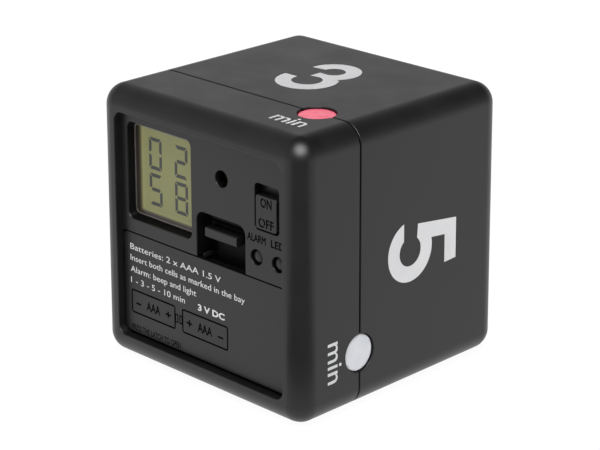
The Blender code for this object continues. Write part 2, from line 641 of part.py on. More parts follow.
def door_latch(material, door):
    """The springy hook of the door: a root behind the door, an arm up the pocket, a lip to press and a
    wider tooth above it."""
    front_y = DOOR_BACK_Y + GAP
    outline = [
        (front_y, LATCH_LOW_Z),
        (LATCH_BACK_Y - LATCH_ARM / 2, LATCH_LOW_Z),
        (LATCH_BACK_Y, LATCH_LOW_Z + LATCH_ARM / 2),
        (LATCH_BACK_Y, LATCH_TOP_Z + LATCH_TOOTH),
        (LATCH_FRONT_Y, LATCH_TOP_Z + LATCH_TOOTH),
        (LATCH_FRONT_Y, LATCH_TOP_Z),
        (PANEL_Y + LATCH_EDGE, LATCH_TOP_Z),
        (PANEL_Y, LATCH_TOP_Z - LATCH_EDGE),
        (PANEL_Y, LATCH_LIP_Z + LATCH_ROUND),
        (PANEL_Y + LATCH_ROUND, LATCH_LIP_Z),
        (LATCH_FRONT_Y - LATCH_ROUND, LATCH_LIP_Z + LATCH_ROUND),
        (LATCH_FRONT_Y, LATCH_LIP_Z),
        (LATCH_FRONT_Y, LATCH_LOW_Z + LATCH_ARM),
        (front_y, LATCH_LOW_Z + LATCH_ARM),
    ]
    half = LATCH_WIDTH / 2
    latch = side_prism("door_latch", outline, LATCH_CENTRE - half, LATCH_CENTRE + half, material)
    root_y = LATCH_FRONT_Y + LATCH_ARM / 2
    tooth = [
        (root_y, LATCH_TOP_Z - LATCH_TOOTH_DROP),
        (LATCH_FRONT_Y - LATCH_TOOTH, LATCH_TOP_Z - LATCH_TOOTH_DROP),
        (LATCH_FRONT_Y - LATCH_TOOTH, LATCH_TOP_Z + LATCH_TOOTH_RISE),
        (LATCH_FRONT_Y - LATCH_EDGE, LATCH_TOP_Z + LATCH_TOOTH - LATCH_EDGE / 2),
        (root_y, LATCH_TOP_Z + LATCH_TOOTH - LATCH_EDGE / 2),
    ]
    half = LATCH_TOOTH_WIDTH / 2
    join(latch, side_prism("latch_tooth", tooth, LATCH_CENTRE - half, LATCH_CENTRE + half))
    origin_at(latch, (LATCH_CENTRE, BEND_Y, BEND_Z))
    latch.parent = door
    latch.location = Vector((LATCH_CENTRE, BEND_Y, BEND_Z)) - door.location
    return latch


def battery_tray(material):
    """An open box behind the door, notched for the latch and drilled for screws and leads."""
    outer = [
        (-BAY_HALF - TRAY_WALL, TRAY_FRONT_Y, PANEL_LOW_Z - TRAY_WALL),
        (BAY_HALF + TRAY_WALL, TRAY_BACK_Y, BAY_TOP_Z + TRAY_WALL),
    ]
    tray = block("battery_tray", *outer, material)
    front_y = TRAY_FRONT_Y - PASS
    combine(tray, block("bay", (-BAY_HALF, front_y, PANEL_LOW_Z), (BAY_HALF, BAY_BACK_Y, BAY_TOP_Z)))
    notch = block(
        "latch_notch",
        (LATCH_CENTRE - POCKET_WIDTH / 2, front_y, BAY_TOP_Z - PASS),
        (LATCH_CENTRE + POCKET_WIDTH / 2, POCKET_BACK_Y, BAY_TOP_Z + TRAY_WALL + PASS),
    )
    combine(tray, notch)
    for number, (x, z) in enumerate(CASE_SCREWS, 1):
        name = f"tray_screw_hole_{number}"
        combine(tray, cylinder(name, x, z, SCREW_RADIUS + GAP, BAY_BACK_Y - PASS, TRAY_BACK_Y + PASS, 16))
    lead_hole = 2 * WIRE_RADIUS + GAP / 2
    for name, z in (("lead_hole_low", CELL_LOW_Z), ("lead_hole_top", CELL_TOP_Z)):
        hole = turned(name, [(lead_hole, -PASS), (lead_hole, TRAY_WALL + PASS)], 12)
        combine(tray, pose(hole, (BAY_HALF, CELL_Y, z), TURN_TO_RIGHT))
    return tray


def dry_cell(name, nub_side, z, material):
    """A dry cell that lies along X, with its nub to the left (-1) or to the right (1)."""
    body = CELL_LENGTH - CELL_NUB_LENGTH
    profile = [
        (CELL_RADIUS - CELL_EDGE, 0.0),
        (CELL_RADIUS, CELL_EDGE),
        (CELL_RADIUS, body - CELL_EDGE),
        (CELL_RADIUS - CELL_EDGE, body),
        (CELL_NUB_RADIUS, body),
        (CELL_NUB_RADIUS, body + CELL_NUB_LENGTH),
    ]
    cell = turned(name, profile, 28, material)
    nub_tip = BAY_HALF - 2 * GAP - CONTACT_THICKNESS
    start = nub_side * (nub_tip - CELL_LENGTH)
    return pose(cell, (start, CELL_Y, z), TURN_TO_RIGHT if nub_side > 0 else TURN_TO_LEFT)


def contact_plate(name, side, z_low, z_high, material):
    """A flat contact against one end wall of the bay."""
    face = BAY_HALF - GAP
    x_low, x_high = sorted((side * (face - CONTACT_THICKNESS), side * face))
    half = CELL_RADIUS - CONTACT_MARGIN
    corners = (CONTACT_CORNER, CONTACT_CORNER)
    outline = rounded_outline(CELL_Y - half, CELL_Y + half, z_low - half, z_high + half, corners, 3)
    return side_prism(name, outline, x_low, x_high, material)


def contact_spring(name, side, z, material):
    """A conical coil from a contact plate to the flat end of a cell."""
    wire = SPRING_WIRE / 2
    start = BAY_HALF - GAP - CONTACT_THICKNESS - GAP - wire
    length = SPRING_LENGTH - SPRING_WIRE
    steps = 12 * SPRING_TURNS
    points = []
    for i in range(steps + 1):
        t = i / steps
        angle = 2 * math.pi * SPRING_TURNS * t
        radius = CELL_RADIUS * (0.55 - 0.22 * t)
        x = side * (start - length * t)
        points.append((x, CELL_Y + radius * math.cos(angle), z + radius * math.sin(angle)))
    return tube(name, points, wire, material)


def display(glass, plastic, rubber):
    """The liquid-crystal cell, the frame that holds it and its two contact strips."""
    half_width = GLASS_WIDTH / 2
    half_height = GLASS_HEIGHT / 2
    low = (WINDOW_X - half_width, GLASS_Y, WINDOW_Z - half_height)
    high = (WINDOW_X + half_width, GLASS_BACK_Y, WINDOW_Z + half_height)
    block("display_glass", low, high, glass)
    reach = GAP + HOLDER_WALL
    holder = block(
        "display_holder",
        (low[0] - reach, GLASS_Y, low[2] - reach),
        (high[0] + reach, BOARD_FRONT_GAP_Y, high[2] + reach),
        plastic,
    )
    hollow = block(
        "holder_hollow",
        (low[0] - GAP, GLASS_Y - PASS, low[2] - GAP),
        (high[0] + GAP, BOARD_Y + PASS, high[2] + GAP),
    )
    combine(holder, hollow)
    strip_half = half_width - GLASS_MARGIN
    for name, z in (("contact_strip_low", low[2] + GAP), ("contact_strip_top", high[2] - GAP - ZEBRA_HEIGHT)):
        corner = (WINDOW_X - strip_half, GLASS_BACK_Y + GAP, z)
        far = (WINDOW_X + strip_half, BOARD_FRONT_GAP_Y, z + ZEBRA_HEIGHT)
        block(name, corner, far, rubber)


def main_board(material):
    """The circuit board behind the upper half of the panel."""
    corners = (BOARD_CORNER, BOARD_CORNER)
    outline = rounded_outline(-BOARD_HALF, BOARD_HALF, BOARD_LOW_Z, BOARD_TOP_Z, corners, 3)
    board = prism("main_board", outline, BOARD_Y, BOARD_BACK_Y, material)
    for number, (x, z) in enumerate(BOSSES, 1):
        name = f"board_hole_{number}"
        radius = SMALL_SCREW_RADIUS + GAP
        combine(board, cylinder(name, x, z, radius, BOARD_Y - PASS, BOARD_BACK_Y + PASS, 16))
    return board


def chip_and_crystal(epoxy, metal):
    """The potted chip and the clock crystal on the back of the main board."""
    dome = []
    for step in range(6):
        angle = math.radians(75 * step / 5)
        dome.append((CHIP_RADIUS * math.cos(angle), CHIP_HEIGHT * math.sin(angle)))
    chip = turned("timer_chip", dome, 24, epoxy)
    pose(chip, (WINDOW_X, BOARD_BACK_Y + GAP, WINDOW_Z + CHIP_RADIUS + PASS), TURN_TO_BACK)
    can = [
        (CRYSTAL_RADIUS - CRYSTAL_EDGE, 0.0),
        (CRYSTAL_RADIUS, CRYSTAL_EDGE),
        (CRYSTAL_RADIUS, CRYSTAL_LENGTH - CRYSTAL_EDGE),
        (CRYSTAL_RADIUS - CRYSTAL_EDGE, CRYSTAL_LENGTH),
    ]
    crystal = turned("clock_crystal", can, 16, metal)
    pose(crystal, (SOUND_X, BOARD_BACK_Y + GAP + CRYSTAL_RADIUS, SOUND_Z - CRYSTAL_RADIUS))


def slide_switch(plastic, white, metal):
    """The power switch: a knob in the panel's slot, its white lever and the metal can on the board."""
    half = KNOB_WIDTH / 2
    corners = (KNOB_CORNER, KNOB_CORNER)
    face = rounded_outline(SLOT_X - half, SLOT_X + half, KNOB_LOW_Z, KNOB_LOW_Z + KNOB_HEIGHT, corners, 4)
    flange_y = PANEL_BACK_Y + GAP
    flange_back_y = flange_y + KNOB_FLANGE
    knob = prism("switch_knob", face, PANEL_Y - KNOB_PROUD, flange_y + KNOB_ROOT, plastic)
    flange_half = SLOT_WIDTH / 2 + KNOB_FLANGE_SIDE
    flange = block(
        "knob_flange",
        (SLOT_X - flange_half, flange_y, SLOT_LOW_Z - KNOB_TRAVEL - KNOB_FLANGE_END),
        (SLOT_X + flange_half, flange_back_y, SLOT_TOP_Z + KNOB_FLANGE_END),
    )
    join(knob, flange)
    middle = KNOB_LOW_Z + KNOB_HEIGHT / 2
    lever_half = LEVER_WIDTH / 2
    lever_low = (SLOT_X - lever_half, flange_back_y + GAP, middle - lever_half)
    lever_high = (SLOT_X + lever_half, BOARD_FRONT_GAP_Y - LEVER_SETBACK, middle + lever_half)
    lever = block("switch_lever", lever_low, lever_high, white)
    can_half = SWITCH_CAN_WIDTH / 2
    can_low = (SLOT_X - can_half, BOARD_FRONT_GAP_Y - SWITCH_CAN_DEPTH, middle - SWITCH_CAN_HEIGHT / 2)
    can_high = (SLOT_X + can_half, BOARD_FRONT_GAP_Y, middle + SWITCH_CAN_HEIGHT / 2 + KNOB_TRAVEL)
    can = block("switch_can", can_low, can_high, metal)
    mouth_low = (SLOT_X - lever_half - GAP, can_low[1] - PASS, middle - lever_half - GAP)
    mouth_high = (SLOT_X + lever_half + GAP, lever_high[1] + GAP, middle + lever_half + KNOB_TRAVEL + GAP)
    combine(can, block("can_mouth", mouth_low, mouth_high))
    origin = (SLOT_X, PANEL_Y, middle)
    origin_at(knob, origin)
    origin_at(lever, origin)
    lever.parent = knob
    lever.location = (0, 0, 0)


def push_button(name, x, plastic, metal):
    """A domed button behind its hole, and the tact switch that it presses."""
    flange_radius = BUTTON_RADIUS + BUTTON_FLANGE_SIDE
    profile = [
        (BUTTON_RADIUS * 0.7, -BUTTON_FLANGE - BUTTON_STEM),
        (BUTTON_RADIUS * 0.7, -BUTTON_FLANGE),
        (flange_radius, -BUTTON_FLANGE),
        (flange_radius, 0.0),
        (BUTTON_RADIUS, 0.0),
    ]
    shoulder = PANEL_THICKNESS + GAP - BUTTON_SUNK - BUTTON_DOME
    for step in range(5):
        angle = math.radians(80 * step / 4)
        profile.append((BUTTON_RADIUS * math.cos(angle), shoulder + BUTTON_DOME * math.sin(angle)))
    button = turned(f"{name}_button", profile, 20, plastic)
    pose(button, (x, PANEL_BACK_Y + GAP, BUTTON_Z), TURN_TO_FRONT)
    half = TACT_SIZE / 2
    tact = block(
        f"{name}_tact_switch",
        (x - half, BOARD_FRONT_GAP_Y - TACT_HEIGHT, BUTTON_Z - half),
        (x + half, BOARD_FRONT_GAP_Y, BUTTON_Z + half),
        metal,
    )
    stem_end = PANEL_BACK_Y + GAP + BUTTON_FLANGE + BUTTON_STEM
    plunger_y = stem_end + BUTTON_TRAVEL + PLUNGER_GAP
    root_y = BOARD_FRONT_GAP_Y - TACT_HEIGHT / 2
    join(tact, cylinder(f"{name}_plunger", x, BUTTON_Z, PLUNGER_RADIUS, plunger_y, root_y, 16))


def buzzer(brass, ceramic, wire):
    """The piezo sounder: a brass disc in its ring, the ceramic on it and two short leads to the board."""
    cylinder("buzzer_disc", SOUND_X, SOUND_Z, BUZZER_RADIUS, BUZZER_Y, BUZZER_Y + SHEET_THICKNESS, 32, brass)
    ceramic_y = BUZZER_Y + SHEET_THICKNESS + GAP
    ceramic_back_y = ceramic_y + SHEET_THICKNESS
    cylinder("buzzer_ceramic", SOUND_X, SOUND_Z, CERAMIC_RADIUS, ceramic_y, ceramic_back_y, 28, ceramic)
    rim = (BUZZER_RADIUS + CERAMIC_RADIUS) / 2
    for name, reach, bow, start in (
        ("buzzer_lead_disc", rim, GAP / 2, BUZZER_Y + SHEET_THICKNESS + GAP),
        ("buzzer_lead_ceramic", -CERAMIC_RADIUS / 3, GAP, ceramic_back_y + 2 * GAP),
    ):
        end = BOARD_Y - 2 * GAP
        middle = (start + end) / 2
        corners = [
            (SOUND_X + reach, start, SOUND_Z),
            (SOUND_X + reach + bow, middle, SOUND_Z - bow),
            (SOUND_X + reach, end, SOUND_Z),
        ]
        tube(name, smooth_route(corners, 8), WIRE_RADIUS * 0.8, wire)


def tilt_sensor(plastic, metal):
    """The sensor of which face is down: a case with a diamond pocket, its cover and its rolling ball."""
    case_y = BOARD_BACK_Y + GAP
    half = TILT_CASE / 2
    case = block(
        "tilt_case",
        (TILT_X - half, case_y, TILT_Z - half),
        (TILT_X + half, case_y + TILT_DEPTH, TILT_Z + half),
        plastic,
    )
    reach = TILT_POCKET / math.sqrt(2)
    diamond = [
        (TILT_X, TILT_Z - reach),
        (TILT_X + reach, TILT_Z),
        (TILT_X, TILT_Z + reach),
        (TILT_X - reach, TILT_Z),
    ]
    floor_y = case_y + TILT_DEPTH - 2 * TILT_BALL_RADIUS - 2 * GAP
    combine(case, prism("tilt_pocket", diamond, floor_y, case_y + TILT_DEPTH + PASS))
    cover_y = case_y + TILT_DEPTH + GAP
    cover_far = (TILT_X + half, cover_y + TILT_COVER, TILT_Z + half)
    block("tilt_cover", (TILT_X - half, cover_y, TILT_Z - half), cover_far, metal)
    profile = []
    for step in range(9):
        angle = math.radians(-78 + 156 * step / 8)
        profile.append((TILT_BALL_RADIUS * math.cos(angle), TILT_BALL_RADIUS * math.sin(angle)))
    ball = turned("tilt_ball", profile, 16, metal)
    drop = reach - (TILT_BALL_RADIUS + GAP) * math.sqrt(2)
    pose(ball, (TILT_X, floor_y + GAP + TILT_BALL_RADIUS, TILT_Z - drop))


def signal_lens(face, turn, material):
    """A round lens with an inner flange, held between the two shells."""
    radius = LENS_DIAMETER / 2
    top = HALF - LENS_SUNK
    profile = [
        (radius + LENS_FLANGE, LIP_HALF - LENS_FLANGE),
        (radius + LENS_FLANGE, LIP_HALF),
        (radius, LIP_HALF),
        (radius, top - LENS_EDGE),
        (radius - 0.3 * LENS_EDGE, top - 0.3 * LENS_EDGE),
        (radius - LENS_EDGE, top),
    ]
    lens = turned(f"lens_{face}", profile, 36, material)
    lens.data.transform(Matrix.Translation((LENS_OFFSET, SEAM_Y, 0)))
    return pose(lens, (0, 0, HALF), Matrix.Rotation(math.radians(90 * turn), 4, "Y"))


def signal_lamp(face, turn, material):
    """A small domed lamp behind a lens, with two legs that bend to the lamp board."""
    tip = LIP_HALF - LENS_FLANGE - 2 * LAMP_GAP
    base = tip - LAMP_LENGTH
    profile = [(LAMP_FLANGE_RADIUS, base), (LAMP_FLANGE_RADIUS, base + PASS), (LAMP_RADIUS, base + PASS)]
    for step in range(5):
        angle = math.radians(75 * step / 4)
        profile.append((LAMP_RADIUS * math.cos(angle), tip - LAMP_RADIUS + LAMP_RADIUS * math.sin(angle)))
    lamp = turned(f"lamp_{face}", profile, 18, material)
    lamp.data.transform(Matrix.Translation((LENS_OFFSET, LAMP_Y, 0)))
    half = LAMP_LEG / 2
    drop = base - LAMP_LEG_DROP
    outline = [
        (LAMP_Y - half, base + PASS / 2),
        (LAMP_Y - half, drop - half),
        (LIGHT_BOARD_Y - GAP, drop - half),
        (LIGHT_BOARD_Y - GAP, drop + half),
        (LAMP_Y + half, drop + half),
        (LAMP_Y + half, base + PASS / 2),
    ]
    place = Matrix.Translation((0, 0, HALF)) @ Matrix.Rotation(math.radians(90 * turn), 4, "Y")
    for side in (-1, 1):
        x = LENS_OFFSET + side * LAMP_LEG_OFFSET
        leg = side_prism(f"lamp_leg_{face}_{'a' if side < 0 else 'b'}", outline, x - half, x + half)
        leg.matrix_world = place
        join(lamp, leg)
    lamp.matrix_world = place
    return lamp


def light_board(material):
    """The square board at the seam that carries the lamps."""
    half = LIGHT_BOARD_HALF
    outline = rounded_outline(-half, half, HALF - half, HALF + half, (BOARD_CORNER, BOARD_CORNER), 3)
    board = prism("lamp_board", outline, LIGHT_BOARD_Y, LIGHT_BOARD_BACK_Y, material)
    low_y = LIGHT_BOARD_Y - PASS
    high_y = LIGHT_BOARD_BACK_Y + PASS
    for number, (x, z) in enumerate((*CASE_SCREWS, *CORNER_POSTS), 1):
        combine(board, cylinder(f"lamp_board_hole_{number}", x, z, SCREW_RADIUS + GAP, low_y, high_y, 16))
    return board


def ribbon(material):
    """The flat cable between the two boards, bowed a little upwards."""
    start = BOARD_BACK_Y + GAP
    end = LIGHT_BOARD_Y - GAP
    left = SLOT_X - RIBBON_WIDTH / 2
    right = SLOT_X + RIBBON_WIDTH / 2
    rings = []
    for step in range(9):
        t = step / 8
        y = start + (end - start) * t
        z = SOUND_Z + RIBBON_BOW * math.sin(math.pi * t) ** 2
        top = z + RIBBON_THICKNESS
        rings.append(ring_at([(left, z), (right, z), (right, top), (left, top)], y))
    return loft("ribbon_cable", rings, material)


def power_lead(name, z, reach, material):
    """A lead from a contact plate, out of the bay's end and up to the main board."""
    outside = BAY_HALF + TRAY_WALL + 2 * WIRE_RADIUS + GAP
    corners = [
        (BAY_HALF, CELL_Y, z),
        (BAY_HALF + TRAY_WALL, CELL_Y, z),
        (outside, CELL_Y + reach / 2, z + LEAD_BEND),
        (outside, BOARD_BACK_Y + reach, BAY_TOP_Z),
        (outside - LEAD_BEND, BOARD_BACK_Y + reach, BOARD_LOW_Z + reach),
        (outside - 2 * LEAD_BEND, BOARD_BACK_Y + 2 * GAP, BOARD_LOW_Z + reach),
    ]
    return tube(name, smooth_route(corners, 25), WIRE_RADIUS, material)


def screw(name, x, z, under_head_y, length, radius, head_radius, points_back, material):
    """A pan-head screw along Y. points_back is True when its tip points to +Y."""
    dome = SCREW_HEAD_HEIGHT / 3
    profile = [
        (radius * 0.5, -length),
        (radius, -length + radius),
        (radius, 0.0),
        (head_radius, 0.0),
        (head_radius, SCREW_HEAD_HEIGHT - dome),
        (head_radius * 0.7, SCREW_HEAD_HEIGHT),
    ]
    obj = turned(name, profile, 16, material)
    bar = 0.15 * head_radius
    slots = []
    for size_x, size_y in ((head_radius * 0.6, bar), (bar, head_radius * 0.6)):
        outline = [(-size_x, -size_y), (size_x, -size_y), (size_x, size_y), (-size_x, size_y)]
        ends = (SCREW_HEAD_HEIGHT * 0.45, SCREW_HEAD_HEIGHT + PASS)
        rings = [[(a, b, c) for a, b in outline] for c in ends]
        slots.append(loft(f"{name}_drive_{len(slots) + 1}", rings))
    turn = TURN_TO_FRONT if points_back else TURN_TO_BACK
    for item in (obj, *slots):
        pose(item, (x, under_head_y, z), turn)
    for item in slots:
        combine(obj, item)
    return obj


def screws(material):
    """All the screws: case screws in the battery bay, lamp-board screws and main-board screws."""
    under = BAY_BACK_Y - GAP
    length = POST_Y + SCREW_BITE - under
    for name, (x, z) in zip(("case_screw_left", "case_screw_right"), CASE_SCREWS):
        screw(name, x, z, under, length, SCREW_RADIUS, SCREW_HEAD_RADIUS, True, material)
    under = LIGHT_BOARD_Y - GAP
    length = POST_Y + SCREW_BITE - under
    for name, (x, z) in zip(("lamp_board_screw_right", "lamp_board_screw_left"), CORNER_POSTS):
        screw(name, x, z, under, length, SCREW_RADIUS, SCREW_HEAD_RADIUS, True, material)
    under = BOARD_BACK_Y + GAP
    length = under - PANEL_BACK_Y - GAP
    for number, (x, z) in enumerate(BOSSES, 1):
        name = f"board_screw_{number}"
        screw(name, x, z, under, length, SMALL_SCREW_RADIUS, SMALL_HEAD_RADIUS, False, material)


def build():
    clear_scene()
    black = finish("black_abs", "3A393A", 0.42)
    inner_black = finish("black_inner_abs", "2A2A2B", 0.55)
    glass = finish("display_glass", "8F9468", 0.15)
    rubber = finish("contact_rubber", "B9B3AC", 0.6)
    board = finish("green_board", "2F6B3C", 0.45)
    epoxy = finish("black_epoxy", "141414", 0.35)
    steel = finish("zinc_steel", "B9BBBE", 0.3, 1.0)
    nickel = finish("nickel_steel", "C9C6BE", 0.25, 1.0)
    brass = finish("brass", "C9A24B", 0.3, 1.0)
    ceramic = finish("piezo_ceramic", "D8D2C4", 0.5)
    white = finish("white_plastic", "E6E6E2", 0.4)
    red_wire = finish("red_wire", "B3261E", 0.4)
    black_wire = finish("black_wire", "1B1B1B", 0.4)
    grey_cable = finish("grey_ribbon", "9A9C9E", 0.5)
    clear = finish("clear_epoxy", "E8EAEC", 0.12, 0.0, 0.8)
    frosted = finish("frosted_lens", "DADDE4", 0.35)
    red_lens = finish("lit_lens", "F3829A", 0.35)
    cell = finish("cell_jacket", "3F6F8F", 0.3)

    front_shell(black)
    rear_shell(black)
    door = battery_door(black)
    door_latch(black, door)
    battery_tray(inner_black)
    dry_cell("cell_upper", -1, CELL_TOP_Z, cell)
    dry_cell("cell_lower", 1, CELL_LOW_Z, cell)
    contact_plate("bridge_plate", -1, CELL_LOW_Z, CELL_TOP_Z, nickel)
    contact_plate("positive_plate", 1, CELL_LOW_Z, CELL_LOW_Z, nickel)
    contact_plate("negative_plate", 1, CELL_TOP_Z, CELL_TOP_Z, nickel)
    contact_spring("bridge_spring", -1, CELL_LOW_Z, nickel)
    contact_spring("negative_spring", 1, CELL_TOP_Z, nickel)
    display(glass, inner_black, rubber)
    main_board(board)
    chip_and_crystal(epoxy, steel)
    slide_switch(black, white, steel)
    push_button("alarm", BUTTON_LEFT_X, black, steel)
    push_button("light", BUTTON_RIGHT_X, black, steel)
    buzzer(brass, ceramic, black_wire)
    tilt_sensor(inner_black, steel)
    for turn, face in enumerate(FACES):
        signal_lens(face, turn, red_lens if face == "top" else frosted)
        signal_lamp(face, turn, clear)
    light_board(board)
    ribbon(grey_cable)
    power_lead("power_lead_positive", CELL_LOW_Z, POSITIVE_LEAD_DEPTH, red_wire)
    power_lead("power_lead_negative", CELL_TOP_Z, NEGATIVE_LEAD_DEPTH, black_wire)
    screws(steel)


build()
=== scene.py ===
"""Looks of an electronic cube timer: fine shells, prints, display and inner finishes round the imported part.

Lengths are in metres, +Z is up, and the control panel faces -Y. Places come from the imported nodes' boxes.
"""

import json
import math

import bmesh
import bpy
import numpy as np
from mathutils import Matrix, Vector

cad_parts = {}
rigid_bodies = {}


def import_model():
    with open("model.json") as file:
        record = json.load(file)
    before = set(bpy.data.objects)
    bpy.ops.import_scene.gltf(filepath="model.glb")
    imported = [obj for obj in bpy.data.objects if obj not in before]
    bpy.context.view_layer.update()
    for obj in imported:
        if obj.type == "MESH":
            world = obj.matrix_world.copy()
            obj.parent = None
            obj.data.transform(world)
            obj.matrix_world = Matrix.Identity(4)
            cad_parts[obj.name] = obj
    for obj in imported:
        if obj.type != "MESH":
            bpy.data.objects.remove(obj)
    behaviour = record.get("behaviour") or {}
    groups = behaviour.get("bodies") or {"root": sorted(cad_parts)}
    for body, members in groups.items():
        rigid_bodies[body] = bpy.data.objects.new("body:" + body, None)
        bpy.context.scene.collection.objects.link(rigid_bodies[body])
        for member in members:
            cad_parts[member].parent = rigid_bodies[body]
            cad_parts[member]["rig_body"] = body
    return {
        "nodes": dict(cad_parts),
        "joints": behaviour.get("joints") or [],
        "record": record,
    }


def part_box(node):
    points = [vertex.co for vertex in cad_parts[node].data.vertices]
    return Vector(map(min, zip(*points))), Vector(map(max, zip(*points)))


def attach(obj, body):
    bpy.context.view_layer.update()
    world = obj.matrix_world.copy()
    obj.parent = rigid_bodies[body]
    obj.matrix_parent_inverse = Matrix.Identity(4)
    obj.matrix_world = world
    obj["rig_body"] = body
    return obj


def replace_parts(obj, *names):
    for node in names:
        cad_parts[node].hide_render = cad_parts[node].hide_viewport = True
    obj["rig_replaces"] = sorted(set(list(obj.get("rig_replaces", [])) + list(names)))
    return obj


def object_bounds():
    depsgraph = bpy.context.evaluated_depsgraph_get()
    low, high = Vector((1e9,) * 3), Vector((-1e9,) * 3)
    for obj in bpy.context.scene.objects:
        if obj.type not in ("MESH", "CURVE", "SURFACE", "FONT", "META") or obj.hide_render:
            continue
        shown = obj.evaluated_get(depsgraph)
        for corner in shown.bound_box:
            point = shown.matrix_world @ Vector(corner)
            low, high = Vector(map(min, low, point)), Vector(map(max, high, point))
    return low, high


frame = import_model()
cad_low, cad_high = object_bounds()

MM = 0.001
NODES = frame["nodes"]
SLOT_OF = {row["node"]: row["material_slot"] for row in frame["record"]["subparts"]}
JOINTS = {joint["name"]: joint for joint in frame["joints"]}

# Sizes that the boxes don't give, as the part has them
EDGE_RADIUS = 4.6 * MM
WALL = 2.0 * MM
SEAM_GAP = 0.35 * MM
RIM_ROUND = 0.25 * MM
OPENING_RADIUS = 2.0 * MM
PANEL_THICKNESS = 1.7 * MM
LIP_THICKNESS = 0.9 * MM
LIP_ROOT = 2.5 * MM
GAP = 0.3 * MM
PASS = 1.0 * MM
DOOR_SEAM = 0.3 * MM
DOOR_CHAMFER = 0.35 * MM
DOOR_BOTTOM_GAP = 0.35 * MM
DOOR_THICKNESS = 1.3 * MM
TONGUE_OFFSET = 14.0 * MM
TONGUE_WIDTH = 6.0 * MM
TONGUE_RADIUS = 0.45 * MM
TONGUE_SLOT_DEPTH = 0.4 * MM
WINDOW_BEVEL = 0.8 * MM
WINDOW_TAPER = 0.45 * MM
WINDOW_RADIUS = 1.5 * MM
GLASS_MARGIN = 0.5 * MM
SOUND_RADIUS = 1.8 * MM
SLOT_WIDTH = 6.8 * MM
SLOT_RADIUS = 0.9 * MM
KNOB_WIDTH = 5.9 * MM
KNOB_HEIGHT = 7.1 * MM
KNOB_FLANGE = 0.8 * MM
KNOB_FLANGE_REACH = 0.5 * MM
KNOB_END_GAP = 0.35 * MM
BUTTON_RADIUS = 1.5 * MM
BUTTON_HOLE_RADIUS = 1.65 * MM
BUTTON_FLANGE = 0.7 * MM
POCKET_WIDTH = 14.3 * MM
POCKET_HEIGHT = 9.95 * MM
POCKET_RADIUS = 2.0 * MM
POCKET_DEPTH = 5.15 * MM
POCKET_WALL = 0.7 * MM
CATCH_CLEARANCE = 0.6 * MM
CATCH_WIDTH = 9.3 * MM
CATCH_SETBACK = 1.8 * MM
CATCH_THICKNESS = 0.6 * MM
RING_WALL = 0.8 * MM
RING_HEIGHT = 2.05 * MM
POST_RADIUS = 2.5 * MM
BOSS_RADIUS = 1.7 * MM
SCREW_BITE = 6.0 * MM
LENS_CLEARANCE = 0.2 * MM
LENS_FLANGE = 1.0 * MM
BOSS_WALL = 0.65 * MM
POST_BORE_RADIUS = 1.3 * MM
LIP_CHAMFER = 0.2 * MM
FILM_HALF_LENGTH = 22.0 * MM

# Finish of moulded edges and of print, finer than the part's own solids
SHARP_ROUND = 0.15 * MM
SEAM_ROUND = 0.18 * MM
PRINT_HEIGHT = 0.03 * MM
MARK_DEPTH = 0.35 * MM
CAP_HEIGHT = 0.682
PRINT_CAPITALS = 1.3 * MM
KNOB_CAPITALS = 1.85 * MM
PRINT_MARGIN = 2.3 * MM
CORNER_STEPS = 20

# Planes and edges shared by the pieces
front_low, front_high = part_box("front_shell")
rear_low, rear_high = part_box("rear_shell")
door_low, door_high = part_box("battery_door")
glass_low, glass_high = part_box("display_glass")
latch_low, latch_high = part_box("door_latch")
knob_low, knob_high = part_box("switch_knob")
board_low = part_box("main_board")[0]
lamp_board_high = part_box("lamp_board")[1]
HALF = (front_high.x - front_low.x) / 2
MIDDLE = Vector((0, 0, (front_low.z + front_high.z) / 2))
FRONT_Y = front_low.y
BACK_Y = rear_high.y
SEAM_Y = front_high.y + SEAM_GAP / 2
INNER_HALF = HALF - WALL
INNER_RADIUS = EDGE_RADIUS - WALL
LIP_HALF = INNER_HALF - GAP
OPENING_HALF = door_high.x + DOOR_SEAM
PANEL_Y = door_low.y
PANEL_BACK_Y = PANEL_Y + PANEL_THICKNESS
HINGE = Vector(JOINTS["door_hinge"]["pos_m"])
PANEL_LOW_Z = HINGE.z + DOOR_CHAMFER
DOOR_LOW_Z = PANEL_LOW_Z + DOOR_BOTTOM_GAP
DOOR_BACK_Y = PANEL_Y + DOOR_THICKNESS
KNOB_TRAVEL = JOINTS["power_slide"]["range_m"][1]
SLOT_X = (knob_low.x + knob_high.x) / 2
SLOT_TOP_Z = knob_high.z - KNOB_FLANGE_REACH
SLOT_LOW_Z = knob_low.z + KNOB_FLANGE_REACH + KNOB_TRAVEL
KNOB_LOW_Z = SLOT_LOW_Z + KNOB_END_GAP
POCKET_LOW_Z = door_high.z + DOOR_SEAM
POCKET_TOP_Z = POCKET_LOW_Z + POCKET_HEIGHT
POCKET_X = (latch_low.x + latch_high.x) / 2
FILM_LEFT = glass_low.x + 0.3 * MM
FILM_RIGHT = glass_high.x - 0.7 * MM
FILM_LOW_Z = glass_low.z + 0.74 * MM
FILM_TOP_Z = glass_high.z - 0.7 * MM
LENS_X = sum(corner.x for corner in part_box("lens_top")) / 2
LENS_RADIUS = (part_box("lens_top")[1].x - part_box("lens_top")[0].x) / 2 - LENS_FLANGE
FACES = ("top", "right", "bottom", "left")


# Shapes


def arc(centre_x, centre_y, radius, start, end, steps=CORNER_STEPS):
    """Points on a circle from the start angle to the end angle, in degrees: centre + radius (cos, sin)."""
    angle = np.radians(np.linspace(start, end, steps + 1))
    return np.stack((centre_x + radius * np.cos(angle), centre_y + radius * np.sin(angle)), axis=1)


